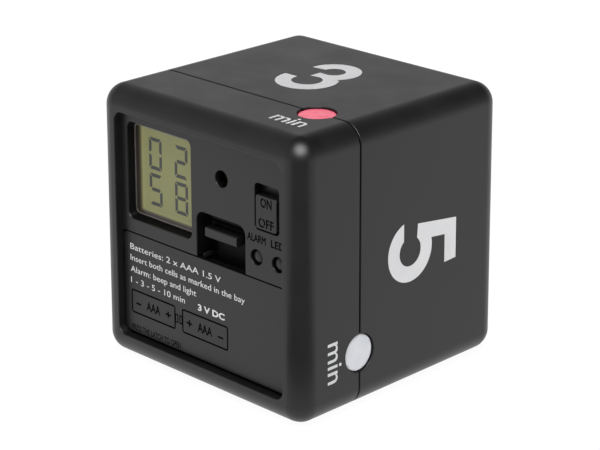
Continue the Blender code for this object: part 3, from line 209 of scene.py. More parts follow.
def rectangles(half_width, half_height, radius, steps=CORNER_STEPS):
    """One rounded rectangle for each entry of the size arrays: each corner is a quarter turn of the radius
    about a centre that lies one radius inside both edges. The radius may have four columns, one for each
    corner."""
    half_width = np.atleast_1d(half_width)[:, None, None]
    half_height = np.atleast_1d(half_height)[:, None, None]
    radius = np.atleast_1d(radius)
    radius = radius[:, :, None] if radius.ndim == 2 else radius[:, None, None]
    side_x = np.array([1, -1, -1, 1])[None, :, None]
    side_z = np.array([1, 1, -1, -1])[None, :, None]
    turn = np.arange(4)[:, None] * np.pi / 2 + np.linspace(0, np.pi / 2, steps + 1)
    x = side_x * (half_width - radius) + radius * np.cos(turn)
    z = side_z * (half_height - radius) + radius * np.sin(turn)
    x, z = np.broadcast_arrays(x, z)
    return np.stack((x.reshape(len(x), -1), z.reshape(len(z), -1)), axis=2)


def standing(outlines, y, centre_x=0.0, centre_z=0.0):
    """Rings in planes across Y: each outline's two columns become X and Z, and y gives each ring's plane."""
    outlines = np.asarray(outlines)
    depth = np.broadcast_to(np.asarray(y, float)[:, None], outlines.shape[:2])
    return np.stack((outlines[..., 0] + centre_x, depth, outlines[..., 1] + centre_z), axis=2)


def circles(radius, height, steps):
    """Rings of a solid of revolution about local Z: (r cos a, r sin a, h) for every profile point (r, h)."""
    radius = np.asarray(radius)
    angle = np.linspace(0, 2 * np.pi, steps, endpoint=False)
    flat = radius[:, None, None] * np.stack((np.cos(angle), np.sin(angle)), axis=1)[None]
    depth = np.broadcast_to(np.asarray(height, float)[:, None, None], (len(radius), steps, 1))
    return np.concatenate((flat, depth), axis=2)


def skin(rings):
    """Points and faces of a closed solid: neighbouring rings joined by quads, and two end faces."""
    rows, count = rings.shape[:2]
    index = np.arange(rows * count).reshape(rows, count)
    beside = np.roll(index, -1, axis=1)
    quads = np.stack((index[:-1], beside[:-1], beside[1:], index[1:]), axis=2).reshape(-1, 4)
    return rings.reshape(-1, 3), [*quads.tolist(), index[0].tolist(), index[-1].tolist()]


def solid(name, shape, place=None):
    """A linked object with the given points and faces, merged where they meet and with its faces outwards."""
    points, faces = shape
    mesh = bpy.data.meshes.new(name)
    mesh.from_pydata(points, [], faces)
    form = bmesh.new()
    form.from_mesh(mesh)
    bmesh.ops.remove_doubles(form, verts=form.verts, dist=1e-7)
    bmesh.ops.recalc_face_normals(form, faces=form.faces)
    form.to_mesh(mesh)
    form.free()
    if place:
        mesh.transform(place)
    piece = bpy.data.objects.new(name, mesh)
    bpy.context.scene.collection.objects.link(piece)
    return piece


def box_solid(name, low, high):
    """A block between two corners, as a ring of four points carried along Y."""
    ring = np.array([(low[0], low[2]), (high[0], low[2]), (high[0], high[2]), (low[0], high[2])])
    return solid(name, skin(standing([ring, ring], (low[1], high[1]))))


def rod(name, x, z, radius, y_low, y_high, steps=40):
    """A cylinder along Y."""
    ring = arc(x, z, radius, 0, 360 - 360 / steps, steps - 1)
    return solid(name, skin(standing([ring, ring], (y_low, y_high))))


def lip(radius, steps=5):
    """A quarter-round edge as (outward offset, depth) pairs: r (1 - sin t) and r (1 - cos t), with t from
    12 to 90 degrees."""
    t = np.radians(np.linspace(12, 90, steps + 1))
    return radius * (1 - np.sin(t)), radius * (1 - np.cos(t))


def opening(
    name, half_width, half_height, radius, x, z, deep_y, taper=0.0, mouth_y=PANEL_Y, deep_radius=None
):
    """A cutter for a rounded rectangular opening in a face across Y, with a quarter-round edge at its mouth,
    and half sizes that shrink by taper on the way in."""
    offset, depth = lip(SHARP_ROUND)
    offset = np.concatenate(([offset[0]], offset, [-taper, -taper]))
    y = np.concatenate(([mouth_y - PASS], mouth_y + depth, [mouth_y + PANEL_THICKNESS, deep_y]))
    if taper == 0.0:
        offset, y = np.delete(offset, -2), np.delete(y, -2)
    inner_radius = np.maximum(radius + offset, 0.2 * MM)
    rings = rectangles(half_width + offset, half_height + offset, inner_radius)
    return solid(name, skin(standing(rings, y, x, z)))


def round_opening(name, radius, x, z, deep_y):
    """A cutter for a round hole in a face across Y, with a quarter-round edge at its mouth."""
    offset, depth = lip(SHARP_ROUND)
    offset = np.concatenate(([offset[0]], offset, [0.0]))
    y = np.concatenate(([PANEL_Y - PASS], PANEL_Y + depth, [deep_y]))
    angle = np.linspace(0, 2 * np.pi, 64, endpoint=False)
    circle = np.stack((np.cos(angle), np.sin(angle)), axis=1)
    return solid(name, skin(standing((radius + offset)[:, None, None] * circle[None], y, x, z)))


CUT_WORDS = ("label", "cut", "size_mark", "pole_mark", "foot_mark")


def carve(piece, steps):
    """Joins or cuts the tools one by one with exact Booleans, keeps the result and removes the tools."""
    for number, (operation, tool) in enumerate(steps):
        change = piece.modifiers.new(f"step {number}", "BOOLEAN")
        change.operation = operation
        change.solver = "EXACT"
        change.use_self = tool.name.startswith(CUT_WORDS)
        change.object = tool
    bpy.context.view_layer.update()
    result = bpy.data.meshes.new_from_object(piece.evaluated_get(bpy.context.evaluated_depsgraph_get()))
    piece.modifiers.clear()
    piece.data = result
    for _, tool in steps:
        bpy.data.objects.remove(tool)
    return piece


def shaded(piece, angle=35):
    """Smooth shading that stays flat on flat faces: creases sharper than the angle stay sharp."""
    piece.data.shade_smooth()
    piece.data.set_sharp_from_angle(angle=math.radians(angle))
    weigh = piece.modifiers.new("flat faces stay flat", "WEIGHTED_NORMAL")
    weigh.keep_sharp = True
    return piece


def dress(piece, material, body, nodes=()):
    """Gives a piece its material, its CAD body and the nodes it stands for."""
    piece.data.materials.clear()
    piece.data.materials.append(material)
    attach(piece, body)
    if nodes:
        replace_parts(piece, *nodes)
    return piece


# Materials


def srgb(code):
    """An sRGB hex colour as linear red, green, blue and alpha."""
    channels = np.array([int(code[i : i + 2], 16) for i in (0, 2, 4)]) / 255
    curved = np.where(channels <= 0.04045, channels / 12.92, ((channels + 0.055) / 1.055) ** 2.4)
    return (*curved, 1.0)


def per(millimetres):
    """Texture scale whose features repeat every so many millimetres."""
    return 1 / (millimetres * MM)


def add(tree, kind, inputs=None, **settings):
    """Adds a shader node. Each input takes a value, or a socket that is then linked to it."""
    item = tree.nodes.new("ShaderNode" + kind)
    for key, value in settings.items():
        setattr(item, key, value)
    for key, value in (inputs or {}).items():
        if isinstance(value, bpy.types.NodeSocket):
            tree.links.new(value, item.inputs[key])
        else:
            item.inputs[key].default_value = value
    return item


def principled(name, **values):
    """A material with a Principled shader, its values set by input name with spaces as underscores."""
    material = bpy.data.materials.new(name)
    material.use_nodes = True
    shader = material.node_tree.nodes["Principled BSDF"]
    for key, value in values.items():
        shader.inputs[key.replace("_", " ")].default_value = value
    return material, material.node_tree, shader


def ramp(tree, factor, stops):
    """A colour ramp with (position, colour) stops."""
    item = add(tree, "ValToRGB", {"Fac": factor})
    item.color_ramp.elements[0].position, item.color_ramp.elements[1].position = stops[0][0], stops[-1][0]
    item.color_ramp.elements[0].color, item.color_ramp.elements[1].color = stops[0][1], stops[-1][1]
    for position, colour in stops[1:-1]:
        item.color_ramp.elements.new(position).color = colour
    return item.outputs["Color"]


def grain(tree, shader, size, height, roughness, spread, shades, seed_shift=0.0):
    """Fine relief, roughness and colour that vary together: one fine noise and one broad cloud."""
    place = add(tree, "TexCoord")
    shift = (seed_shift, seed_shift, 0)
    centred = add(tree, "Mapping", {"Vector": place.outputs["Object"], "Location": shift})
    fine = add(
        tree, "TexNoise", {"Vector": centred.outputs[0], "Scale": per(size), "Detail": 2.0, "Roughness": 0.6}
    )
    cloud = add(
        tree, "TexNoise", {"Vector": centred.outputs[0], "Scale": per(9.0), "Detail": 3.0, "Roughness": 0.55}
    )
    rough = add(
        tree, "MapRange", {"Value": cloud.outputs["Fac"], "From Min": 0.3, "From Max": 0.7}
    )
    rough.inputs["To Min"].default_value = roughness - spread
    rough.inputs["To Max"].default_value = roughness + spread
    tree.links.new(rough.outputs["Result"], shader.inputs["Roughness"])
    mixed = add(tree, "Math", {0: fine.outputs["Fac"], 1: cloud.outputs["Fac"]}, operation="ADD")
    halved = add(tree, "Math", {0: mixed.outputs[0], 1: 0.5}, operation="MULTIPLY")
    low, high = (srgb(code) for code in shades)
    tree.links.new(ramp(tree, halved.outputs[0], ((0.35, low), (0.65, high))), shader.inputs["Base Color"])
    bump = add(tree, "Bump", {"Height": fine.outputs["Fac"], "Distance": height * MM, "Strength": 1.0})
    tree.links.new(bump.outputs["Normal"], shader.inputs["Normal"])
    return fine, cloud, bump


def spark_eroded_abs(name, shade_depth=None):
    """ABS moulded against a spark-eroded tool: a satin black skin whose fine even grain spreads the
    highlights, with broad faint clouds where the melt flowed. The grain is 0.25 mm, coarser than the real
    0.05 mm, to show.
    With a shade depth it carries painted shade: further behind the panel's face than that, inside the front
    opening, its reflection is turned down so that the recesses read dark."""
    material, tree, shader = principled(name, IOR=1.53, Specular_IOR_Level=0.38)
    grain(tree, shader, 0.25, 0.004, 0.37, 0.035, ("111112", "181718"))
    if shade_depth is None:
        return material
    place = add(tree, "TexCoord")
    axes = add(tree, "SeparateXYZ", {"Vector": place.outputs["Object"]})
    level = add(tree, "Math", {0: axes.outputs["Z"], 1: MIDDLE.z}, operation="SUBTRACT")
    inside = None
    for value, limit, kind in (
        (axes.outputs["X"], OPENING_HALF + 0.1 * MM, "across"),
        (level.outputs[0], OPENING_HALF + 0.1 * MM, "across"),
        (axes.outputs["Y"], PANEL_Y + shade_depth, "behind"),
        (axes.outputs["Y"], SEAM_Y, "before"),
    ):
        if kind == "across":
            value = add(tree, "Math", {0: value}, operation="ABSOLUTE").outputs[0]
        test = "GREATER_THAN" if kind == "behind" else "LESS_THAN"
        share = add(tree, "Math", {0: value, 1: limit}, operation=test)
        if inside:
            share = add(tree, "Math", {0: inside, 1: share.outputs[0]}, operation="MULTIPLY")
        inside = share.outputs[0]
    # Painted shade: reflection turned down inside the front opening deeper than the shade depth
    recess_shade = add(tree, "MapRange", {"Value": inside, "To Min": 0.38, "To Max": 0.04})
    tree.links.new(recess_shade.outputs["Result"], shader.inputs["Specular IOR Level"])
    return material


def inner_abs():
    """ABS of the inner mouldings, from a plainly milled tool: a flatter, duller black."""
    material, tree, shader = principled("milled_tool_abs", IOR=1.53)
    grain(tree, shader, 0.4, 0.006, 0.55, 0.05, ("0E0E0F", "161617"))
    return material


def silver_ink():
    """Pad-printed silver ink: fine aluminium flake in lacquer, pale grey with a soft sparkle."""
    material, tree, shader = principled("silver_pad_print", Metallic=0.2)
    grain(tree, shader, 0.12, 0.004, 0.45, 0.06, ("E4E4E6", "F4F4F5"))
    return material


def white_ink():
    """Pad-printed white ink: an opaque film with slightly uneven cover."""
    material, tree, shader = principled("white_pad_print")
    grain(tree, shader, 0.2, 0.003, 0.5, 0.05, ("E4E4E4", "F6F6F6"))
    return material


def display_film():
    """The liquid-crystal cell behind its polariser: a grey-green reflector with a fine speckle and a glossy
    front. The reflector lies deeper than the front; the shade it would get along the left and lower edges is
    painted into its colour as a brown band, with a painted bright band just inside them."""
    material, tree, shader = principled("reflective_display_film", Coat_Weight=0.35, Coat_Roughness=0.06)
    place = add(tree, "TexCoord")
    axes = add(tree, "SeparateXYZ", {"Vector": place.outputs["Object"]})
    from_left = add(tree, "Math", {0: axes.outputs["X"], 1: FILM_LEFT}, operation="SUBTRACT")
    from_bottom = add(tree, "Math", {0: axes.outputs["Z"], 1: FILM_LOW_Z}, operation="SUBTRACT")
    stretched = add(tree, "Math", {0: from_bottom.outputs[0], 1: 2.0}, operation="MULTIPLY")
    inside = add(
        tree, "Math", {0: from_left.outputs[0], 1: stretched.outputs[0], 2: 0.8 * MM}, operation="SMOOTH_MIN"
    )
    share = add(tree, "MapRange", {"Value": inside.outputs[0], "From Min": 0.0, "From Max": 4.0 * MM})
    # Painted shade and highlight: brown near the left and lower edges, then a bright band, by distance from
    # them
    edge = ramp(
        tree,
        share.outputs["Result"],
        (
            (0.0, srgb("1D1710")),
            (0.25, srgb("33281B")),
            (0.42, srgb("7C754A")),
            (0.52, srgb("A2A46C")),
            (0.70, srgb("98985F")),
            (1.0, srgb("92945C")),
        ),
    )
    speckle = add(tree, "TexNoise", {"Vector": place.outputs["Object"], "Scale": per(0.35), "Detail": 3.0})
    clouds = add(tree, "TexNoise", {"Vector": place.outputs["Object"], "Scale": per(6.0), "Detail": 2.0})
    tint = ramp(tree, clouds.outputs["Fac"], ((0.3, srgb("F3F6E9")), (0.7, srgb("FFFBEA"))))
    light = ramp(tree, speckle.outputs["Fac"], ((0.25, srgb("EDEDED")), (0.75, srgb("FFFFFF"))))
    toned = add(tree, "MixRGB", {"Fac": 1.0, "Color1": edge, "Color2": tint}, blend_type="MULTIPLY")
    mixing = {"Fac": 1.0, "Color1": toned.outputs[0], "Color2": light}
    flecked = add(tree, "MixRGB", mixing, blend_type="MULTIPLY")
    tree.links.new(flecked.outputs[0], shader.inputs["Base Color"])
    rough = add(tree, "MapRange", {"Value": speckle.outputs["Fac"], "To Min": 0.38, "To Max": 0.5})
    tree.links.new(rough.outputs["Result"], shader.inputs["Roughness"])
    return material


def crystal_segments():
    """Switched-on liquid crystal: dark olive, almost black, with the film's gloss over it."""
    material, tree, shader = principled("switched_crystal", Coat_Weight=0.35, Coat_Roughness=0.06)
    grain(tree, shader, 0.3, 0.0005, 0.4, 0.04, ("0C1008", "151B0F"))
    return material


def window_edge_glint():
    """The cut edge of the clear acrylic window, which pipes daylight: a pale warm grey line whose colour is a
    painted highlight standing in for that piped light.
    """
    material, tree, shader = principled("cut_acrylic_edge_painted_glint")
    grain(tree, shader, 0.3, 0.002, 0.3, 0.05, ("5F5954", "857E79"))
    return material


def lens_acrylic(name, face_colour, rim_colour, glow=0.0, glow_colour="FFFFFF"):
    """Diffusing acrylic, moulded milky, its tone in soft clouds between two shades. A glow, where given, is
    painted light: the lens itself emits in place of the lamp behind it.
    """
    material, tree, shader = principled(
        name,
        Roughness=0.28,
        IOR=1.49,
        Subsurface_Weight=0.15,
        Subsurface_Radius=(0.5 * MM, 0.5 * MM, 0.6 * MM),
        Subsurface_Scale=1.0,
        Emission_Strength=glow,
        Emission_Color=srgb(glow_colour),
    )
    place = add(tree, "TexCoord")
    cloud = add(tree, "TexNoise", {"Vector": place.outputs["Object"], "Scale": per(2.5), "Detail": 2.0})
    tone = ramp(tree, cloud.outputs["Fac"], ((0.3, srgb(face_colour)), (0.75, srgb(rim_colour))))
    tree.links.new(tone, shader.inputs["Base Color"])
    fine = add(tree, "TexNoise", {"Vector": place.outputs["Object"], "Scale": per(0.2), "Detail": 2.0})
    bump = add(tree, "Bump", {"Height": fine.outputs["Fac"], "Distance": 0.002 * MM})
    tree.links.new(bump.outputs["Normal"], shader.inputs["Normal"])
    return material


def circuit_board():
    """Glass-epoxy laminate under green solder resist: glossy, with copper tracks showing through as paler
    bands and the glass weave as a faint 0.5 mm check."""
    material, tree, shader = principled("solder_resist_board", Coat_Weight=0.3, Coat_Roughness=0.12)
    place = add(tree, "TexCoord")
    spread = add(tree, "Mapping", {"Vector": place.outputs["Object"], "Rotation": (0, math.radians(45), 0)})
    tracks = add(
        tree, "TexVoronoi", {"Vector": spread.outputs[0], "Scale": per(2.2), "Randomness": 0.35},
        distance="MANHATTAN",
    )
    shade = ramp(
        tree, tracks.outputs["Distance"],
        ((0.0, srgb("3D7F49")), (0.18, srgb("2C6638")), (0.55, srgb("1F5029"))),
    )
    weave = add(tree, "TexChecker", {"Vector": place.outputs["Object"], "Scale": per(0.5)})
    weave.inputs["Color1"].default_value = srgb("FFFFFF")
    weave.inputs["Color2"].default_value = srgb("F0F3EE")
    mixing = {"Fac": 1.0, "Color1": shade, "Color2": weave.outputs["Color"]}
    tone = add(tree, "MixRGB", mixing, blend_type="MULTIPLY")
    tree.links.new(tone.outputs[0], shader.inputs["Base Color"])
    bump = add(tree, "Bump", {"Height": tracks.outputs["Distance"], "Distance": 0.03 * MM, "Strength": 0.6})
    tree.links.new(bump.outputs["Normal"], shader.inputs["Normal"])
    rough = add(tree, "MapRange", {"Value": tracks.outputs["Distance"], "To Min": 0.3, "To Max": 0.45})
    tree.links.new(rough.outputs["Result"], shader.inputs["Roughness"])
    return material


def brushed_metal(name, dark, pale, roughness, streak=(1.0, 1.0, 14.0), metallic=1.0):
    """Sheet or turned metal with fine drawn streaks along one axis: bright along them and soft across."""
    material, tree, shader = principled(name, Metallic=metallic)
    place = add(tree, "TexCoord")
    drawn = add(tree, "Mapping", {"Vector": place.outputs["Object"], "Scale": streak})
    lines = add(
        tree, "TexNoise", {"Vector": drawn.outputs[0], "Scale": per(1.2), "Detail": 4.0, "Roughness": 0.65}
    )
    tree.links.new(
        ramp(tree, lines.outputs["Fac"], ((0.3, srgb(dark)), (0.7, srgb(pale)))), shader.inputs["Base Color"]
    )
    rough = add(tree, "MapRange", {"Value": lines.outputs["Fac"], "From Min": 0.3, "From Max": 0.7})
    rough.inputs["To Min"].default_value = roughness - 0.06
    rough.inputs["To Max"].default_value = roughness + 0.08
    tree.links.new(rough.outputs["Result"], shader.inputs["Roughness"])
    bump = add(tree, "Bump", {"Height": lines.outputs["Fac"], "Distance": 0.004 * MM})
    tree.links.new(bump.outputs["Normal"], shader.inputs["Normal"])
    return material


def even_plastic(name, shades, size, height, roughness, **values):
    """A plain moulded or cast plastic, rubber or ceramic with its own fine relief."""
    material, tree, shader = principled(name, **values)
    grain(tree, shader, size, height, roughness, 0.05, shades)
    return material


def banded(name, shades, pitch, axis, roughness, **values):
    """A body of regular layers or ribs: colour and relief repeat every pitch millimetres along one axis."""
    material, tree, shader = principled(name, Roughness=roughness, **values)
    place = add(tree, "TexCoord")
    bands = add(
        tree,
        "TexWave",
        {"Vector": place.outputs["Object"], "Scale": per(pitch) / 20, "Distortion": 0.2, "Detail": 1.0},
        bands_direction=axis,
    )
    tree.links.new(
        ramp(tree, bands.outputs["Fac"], ((0.2, srgb(shades[0])), (0.8, srgb(shades[1])))),
        shader.inputs["Base Color"],
    )
    bump = add(tree, "Bump", {"Height": bands.outputs["Fac"], "Distance": 0.02 * MM, "Strength": 0.7})
    tree.links.new(bump.outputs["Normal"], shader.inputs["Normal"])
    return material


BLACK = spark_eroded_abs("spark_eroded_abs")
# These two blacks carry painted shade: dull reflection in recesses, from 0.3 mm behind the panel's face for
# shell and door, from 2.2 mm for the latch
RECESS_SHADED_BLACK = spark_eroded_abs("spark_eroded_shell_abs_recess_shade", 0.3 * MM)
POCKET_SHADED_LATCH_BLACK = spark_eroded_abs("spark_eroded_latch_abs_pocket_shade", 2.2 * MM)
INNER_BLACK = inner_abs()
SILVER = silver_ink()
WHITE = white_ink()
FROSTED = lens_acrylic("frosted_acrylic", "EEF1F7", "F8F9FC")
# Painted light: the lit lens emits red in place of the lamp behind it
LIT = lens_acrylic("lit_red_acrylic", "DC5068", "E88496", 0.36, "EE4C68")
STEEL = brushed_metal("zinc_plated_steel", "A4A7AC", "C9CCD0", 0.3)
NICKEL = brushed_metal("nickel_plated_steel", "B9B6AE", "DAD7CE", 0.22)
FINISHES = {
    "black_abs": BLACK,
    "inner_abs": INNER_BLACK,
    "display_glass": display_film(),
    "silicone_rubber": banded("layered_silicone_rubber", ("8F8A84", "C9C3BB"), 0.3, "Z", 0.6),
    "circuit_board": circuit_board(),
    "potting_epoxy": even_plastic("potting_epoxy", ("0B0B0B", "151515"), 0.8, 0.02, 0.25, Coat_Weight=0.3),
    "zinc_steel": STEEL,
    "screw_steel": STEEL,
    "nickel_contacts": NICKEL,
    "lever_plastic": even_plastic("moulded_acetal", ("DFDFDA", "ECECE8"), 0.3, 0.003, 0.4),
    "buzzer_brass": brushed_metal("rolled_brass", "B58F42", "D8B465", 0.28, (1.0, 1.0, 8.0)),
    "buzzer_ceramic": even_plastic("fired_piezo_ceramic", ("CFC8B8", "E2DCCD"), 0.2, 0.006, 0.5),
    "red_wire": even_plastic("red_pvc_sleeve", ("A81F18", "BE2C24"), 0.5, 0.004, 0.38),
    "black_wire": even_plastic("black_pvc_sleeve", ("151515", "202020"), 0.5, 0.004, 0.38),
    "ribbon_pvc": banded("ribbed_pvc_ribbon", ("7E8083", "A9ABAE"), 1.0, "X", 0.5),
    "lit_lens": LIT,
    "frosted_lens": FROSTED,
    "lamp_epoxy": even_plastic(
        "water_clear_epoxy", ("DFE2E4", "F2F4F5"), 1.0, 0.003, 0.1, Transmission_Weight=0.6, IOR=1.55
    ),
}


# Shells


def square_rings(half, y, radius):
    """Rounded squares about the cube's Y axis, one for each entry of the arrays."""
    return standing(rectangles(np.asarray(half), np.asarray(half), np.asarray(radius)), y, 0.0, MIDDLE.z)


def lens_places():
    """For each number face, the matrix that takes local Z out of that face at its lens."""
    for turn in range(4):
        quarter = Matrix.Rotation(math.radians(90 * turn), 4, "Y")
        yield Matrix.Translation(MIDDLE) @ quarter @ Matrix.Translation((LENS_X, SEAM_Y, 0))


def lens_holes(name):
    """Cutters for the four round lens holes, each with a quarter-round edge at the face."""
    offset, depth = lip(SHARP_ROUND)
    radius = LENS_RADIUS + LENS_CLEARANCE + np.concatenate(([offset[0]], offset, [0.0]))
    height = HALF - np.concatenate(([-PASS], depth, [WALL + PASS]))
    for face, place in zip(FACES, lens_places()):
        yield "DIFFERENCE", solid(f"{name}_{face}", skin(circles(radius, height, 72)), place)


def screw_spot(node):
    low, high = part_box(node)
    return (low.x + high.x) / 2, (low.z + high.z) / 2


def front_shell():
    """The front moulding: a profile (half width, depth) carried round a rounded square, from the panel's
    inner side along the wall to the seam, back along the outside, over the rolled rim, down to the panel."""
    seam_edge = front_high.y
    round_in = arc(INNER_HALF + SEAM_ROUND, seam_edge - SEAM_ROUND, SEAM_ROUND, 180, 90, 4)
    round_out = arc(HALF - SEAM_ROUND, seam_edge - SEAM_ROUND, SEAM_ROUND, 90, 0, 6)
    roll = arc(HALF - EDGE_RADIUS, FRONT_Y + EDGE_RADIUS, EDGE_RADIUS, 0, -84, 28)
    rim = arc(OPENING_HALF + RIM_ROUND, FRONT_Y + RIM_ROUND, RIM_ROUND, -96, -180, 12)
    profile = np.concatenate((
        [(INNER_HALF, PANEL_BACK_Y)], round_in, round_out, roll, rim, [(OPENING_HALF, PANEL_Y)]
    ))
    half, y = profile.T
    radius = np.concatenate(
        (
            np.full(1 + len(round_in), INNER_RADIUS),
            EDGE_RADIUS - (HALF - round_out[:, 0]),
            EDGE_RADIUS - (HALF - roll[:, 0]),
            OPENING_RADIUS + rim[:, 0] - OPENING_HALF,
            [OPENING_RADIUS],
        )
    )
    shell = solid("front_shell_moulding", skin(square_rings(half, y, radius)))
    sound_x, sound_z = screw_spot("buzzer_disc")
    disc_low, disc_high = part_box("buzzer_disc")
    chamber = (disc_high.x - disc_low.x) / 2 + GAP
    root_y = PANEL_BACK_Y - PANEL_THICKNESS / 2
    steps = [
        ("UNION", box_solid(
            "pocket_walls",
            (POCKET_X - POCKET_WIDTH / 2 - POCKET_WALL, root_y, board_low.z - 0.2 * MM),
            (
                POCKET_X + POCKET_WIDTH / 2 + POCKET_WALL,
                PANEL_Y + POCKET_DEPTH + POCKET_WALL,
                POCKET_TOP_Z + POCKET_WALL,
            ),
        )),
        ("UNION", rod("ring", sound_x, sound_z, chamber + RING_WALL, root_y, PANEL_BACK_Y + RING_HEIGHT, 56)),
        (
            "DIFFERENCE",
            rod("chamber", sound_x, sound_z, chamber, PANEL_BACK_Y - GAP, PANEL_Y + 2 * POCKET_DEPTH, 56),
        ),
    ]
    for number in (1, 2, 3):
        x, z = screw_spot(f"board_screw_{number}")
        steps.append(("UNION", rod(f"boss_{number}", x, z, BOSS_RADIUS, root_y, board_low.y - GAP)))
        bore = rod(f"bore_{number}", x, z, BOSS_RADIUS - BOSS_WALL, PANEL_BACK_Y, board_low.y)
        steps.append(("DIFFERENCE", bore))
    window_x, window_z = screw_spot("display_glass")
    window_half_x = (glass_high.x - glass_low.x) / 2 - GLASS_MARGIN + WINDOW_BEVEL
    window_half_z = (glass_high.z - glass_low.z) / 2 - GLASS_MARGIN + WINDOW_BEVEL
    steps.append(("DIFFERENCE", opening(
        "window", window_half_x, window_half_z, WINDOW_RADIUS, window_x, window_z,
        PANEL_BACK_Y + PASS, WINDOW_TAPER,
    )))
    sound_hole = round_opening("sound_hole", SOUND_RADIUS, sound_x, sound_z, PANEL_BACK_Y + PASS)
    steps.append(("DIFFERENCE", sound_hole))
    steps.append(("DIFFERENCE", opening(
        "slot", SLOT_WIDTH / 2, (SLOT_TOP_Z - SLOT_LOW_Z) / 2, SLOT_RADIUS,
        SLOT_X, (SLOT_TOP_Z + SLOT_LOW_Z) / 2,
        PANEL_BACK_Y + PASS,
    )))
    for node in ("alarm_button", "light_button"):
        hole = round_opening(node + "_hole", BUTTON_HOLE_RADIUS, *screw_spot(node), PANEL_BACK_Y + PASS)
        steps.append(("DIFFERENCE", hole))
    pocket_low = DOOR_LOW_Z + WALL
    steps.append(("DIFFERENCE", opening(
        "pocket", POCKET_WIDTH / 2, (POCKET_TOP_Z - pocket_low) / 2, POCKET_RADIUS, POCKET_X,
        (POCKET_TOP_Z + pocket_low) / 2, PANEL_Y + POCKET_DEPTH,
    )))
    bay = rectangles(
        [OPENING_HALF] * 2, [(POCKET_LOW_Z - PANEL_LOW_Z) / 2] * 2,
        np.array([[OPENING_RADIUS / 2] * 2 + [OPENING_RADIUS] * 2] * 2),
    )
    bay_rings = standing(bay, (PANEL_Y - PASS, PANEL_BACK_Y + PASS), 0, (POCKET_LOW_Z + PANEL_LOW_Z) / 2)
    steps.append(("DIFFERENCE", solid("battery_opening", skin(bay_rings))))
    for side in (-1, 1):
        x = side * TONGUE_OFFSET
        reach = TONGUE_WIDTH / 2 + GAP
        steps.append(("DIFFERENCE", box_solid(
            f"tongue_slot_{side}",
            (x - reach, HINGE.y - TONGUE_RADIUS - 2 * GAP, HINGE.z - TONGUE_RADIUS - TONGUE_SLOT_DEPTH),
            (x + reach, PANEL_BACK_Y + PASS, PANEL_LOW_Z + PASS),
        )))
    catch_y = latch_high.y - CATCH_SETBACK
    steps.append(("UNION", box_solid(
        "catch_bar",
        (POCKET_X - CATCH_WIDTH / 2, catch_y - CATCH_THICKNESS, latch_high.z + CATCH_CLEARANCE),
        (POCKET_X + CATCH_WIDTH / 2, catch_y, POCKET_TOP_Z + POCKET_WALL / 2),
    )))
    steps.extend(lens_holes("front_lens"))
    label_z = SLOT_LOW_Z - 2.75 * MM
    for words, width, node in (("ALARM", 5.3 * MM, "alarm_button"), ("LED", 3.9 * MM, "light_button")):
        place = panel_place(screw_spot(node)[0], label_z, PANEL_Y)
        label = lettering(f"label_{words}", words, width, 1.5 * MM, place, 2 * MARK_DEPTH, 0.03)
        steps.append(("DIFFERENCE", label))
    carve(shell, steps)
    return dress(shaded(shell), RECESS_SHADED_BLACK, "housing", ["front_shell"])


def rear_shell():
    """The rear moulding: the same way of working, from the inner back wall along the inside to the lip, round
    the lip, and back along the outside over the rounded back edge."""
    lip_tip = rear_low.y
    lip_inner = LIP_HALF - LIP_THICKNESS
    lip_root = SEAM_Y + LIP_ROOT
    seam_edge = SEAM_Y + SEAM_GAP / 2
    round_out = arc(HALF - SEAM_ROUND, seam_edge + SEAM_ROUND, SEAM_ROUND, -90, 0, 6)
    back = arc(HALF - EDGE_RADIUS, BACK_Y - EDGE_RADIUS, EDGE_RADIUS, 0, 90, 28)
    profile = np.concatenate((
        [(INNER_HALF, BACK_Y - WALL), (INNER_HALF, lip_root + LIP_THICKNESS + GAP), (lip_inner, lip_root)],
        [(lip_inner, lip_tip), (LIP_HALF - LIP_CHAMFER, lip_tip)],
        [(LIP_HALF, lip_tip + LIP_CHAMFER), (LIP_HALF, seam_edge)],
        round_out,
        back,
    ))
    radius = np.concatenate((
        np.full(7, INNER_RADIUS),
        EDGE_RADIUS - (HALF - round_out[:, 0]),
        np.maximum(EDGE_RADIUS - (HALF - back[:, 0]), 0.05 * MM),
    ))
    shell = solid("rear_shell_moulding", skin(square_rings(profile[:, 0], profile[:, 1], radius)))
    steps = []
    posts = ("case_screw_left", "case_screw_right", "lamp_board_screw_left", "lamp_board_screw_right")
    post_y = lamp_board_high.y + GAP
    for number, node in enumerate(posts):
        post = rod(f"post_{number}", *screw_spot(node), POST_RADIUS, post_y, BACK_Y - WALL / 2)
        steps.append(("UNION", post))
    for number, node in enumerate(posts):
        bore = rod(
            f"post_bore_{number}", *screw_spot(node), POST_BORE_RADIUS,
            post_y - PASS, post_y + SCREW_BITE + PASS, 24,
        )
        steps.append(("DIFFERENCE", bore))
    steps.extend(lens_holes("rear_lens"))
    seat = LENS_RADIUS + LENS_FLANGE + GAP
    for face, place in zip(FACES, lens_places()):
        ring = circles([seat, seat], [lip_inner - 3 * PASS, INNER_HALF + GAP / 3], 56)
        steps.append(("DIFFERENCE", solid(f"seat_{face}", skin(ring), place)))
    carve(shell, steps)
    return dress(shaded(shell), BLACK, "housing", ["rear_shell"])


# Print and relief


def panel_place(x, z, y):
    """Local X along +X, local Y up and local Z out of the panel, at a point of the panel."""
    return Matrix.Translation((x, y, z)) @ Matrix.Rotation(math.radians(90), 4, "X")


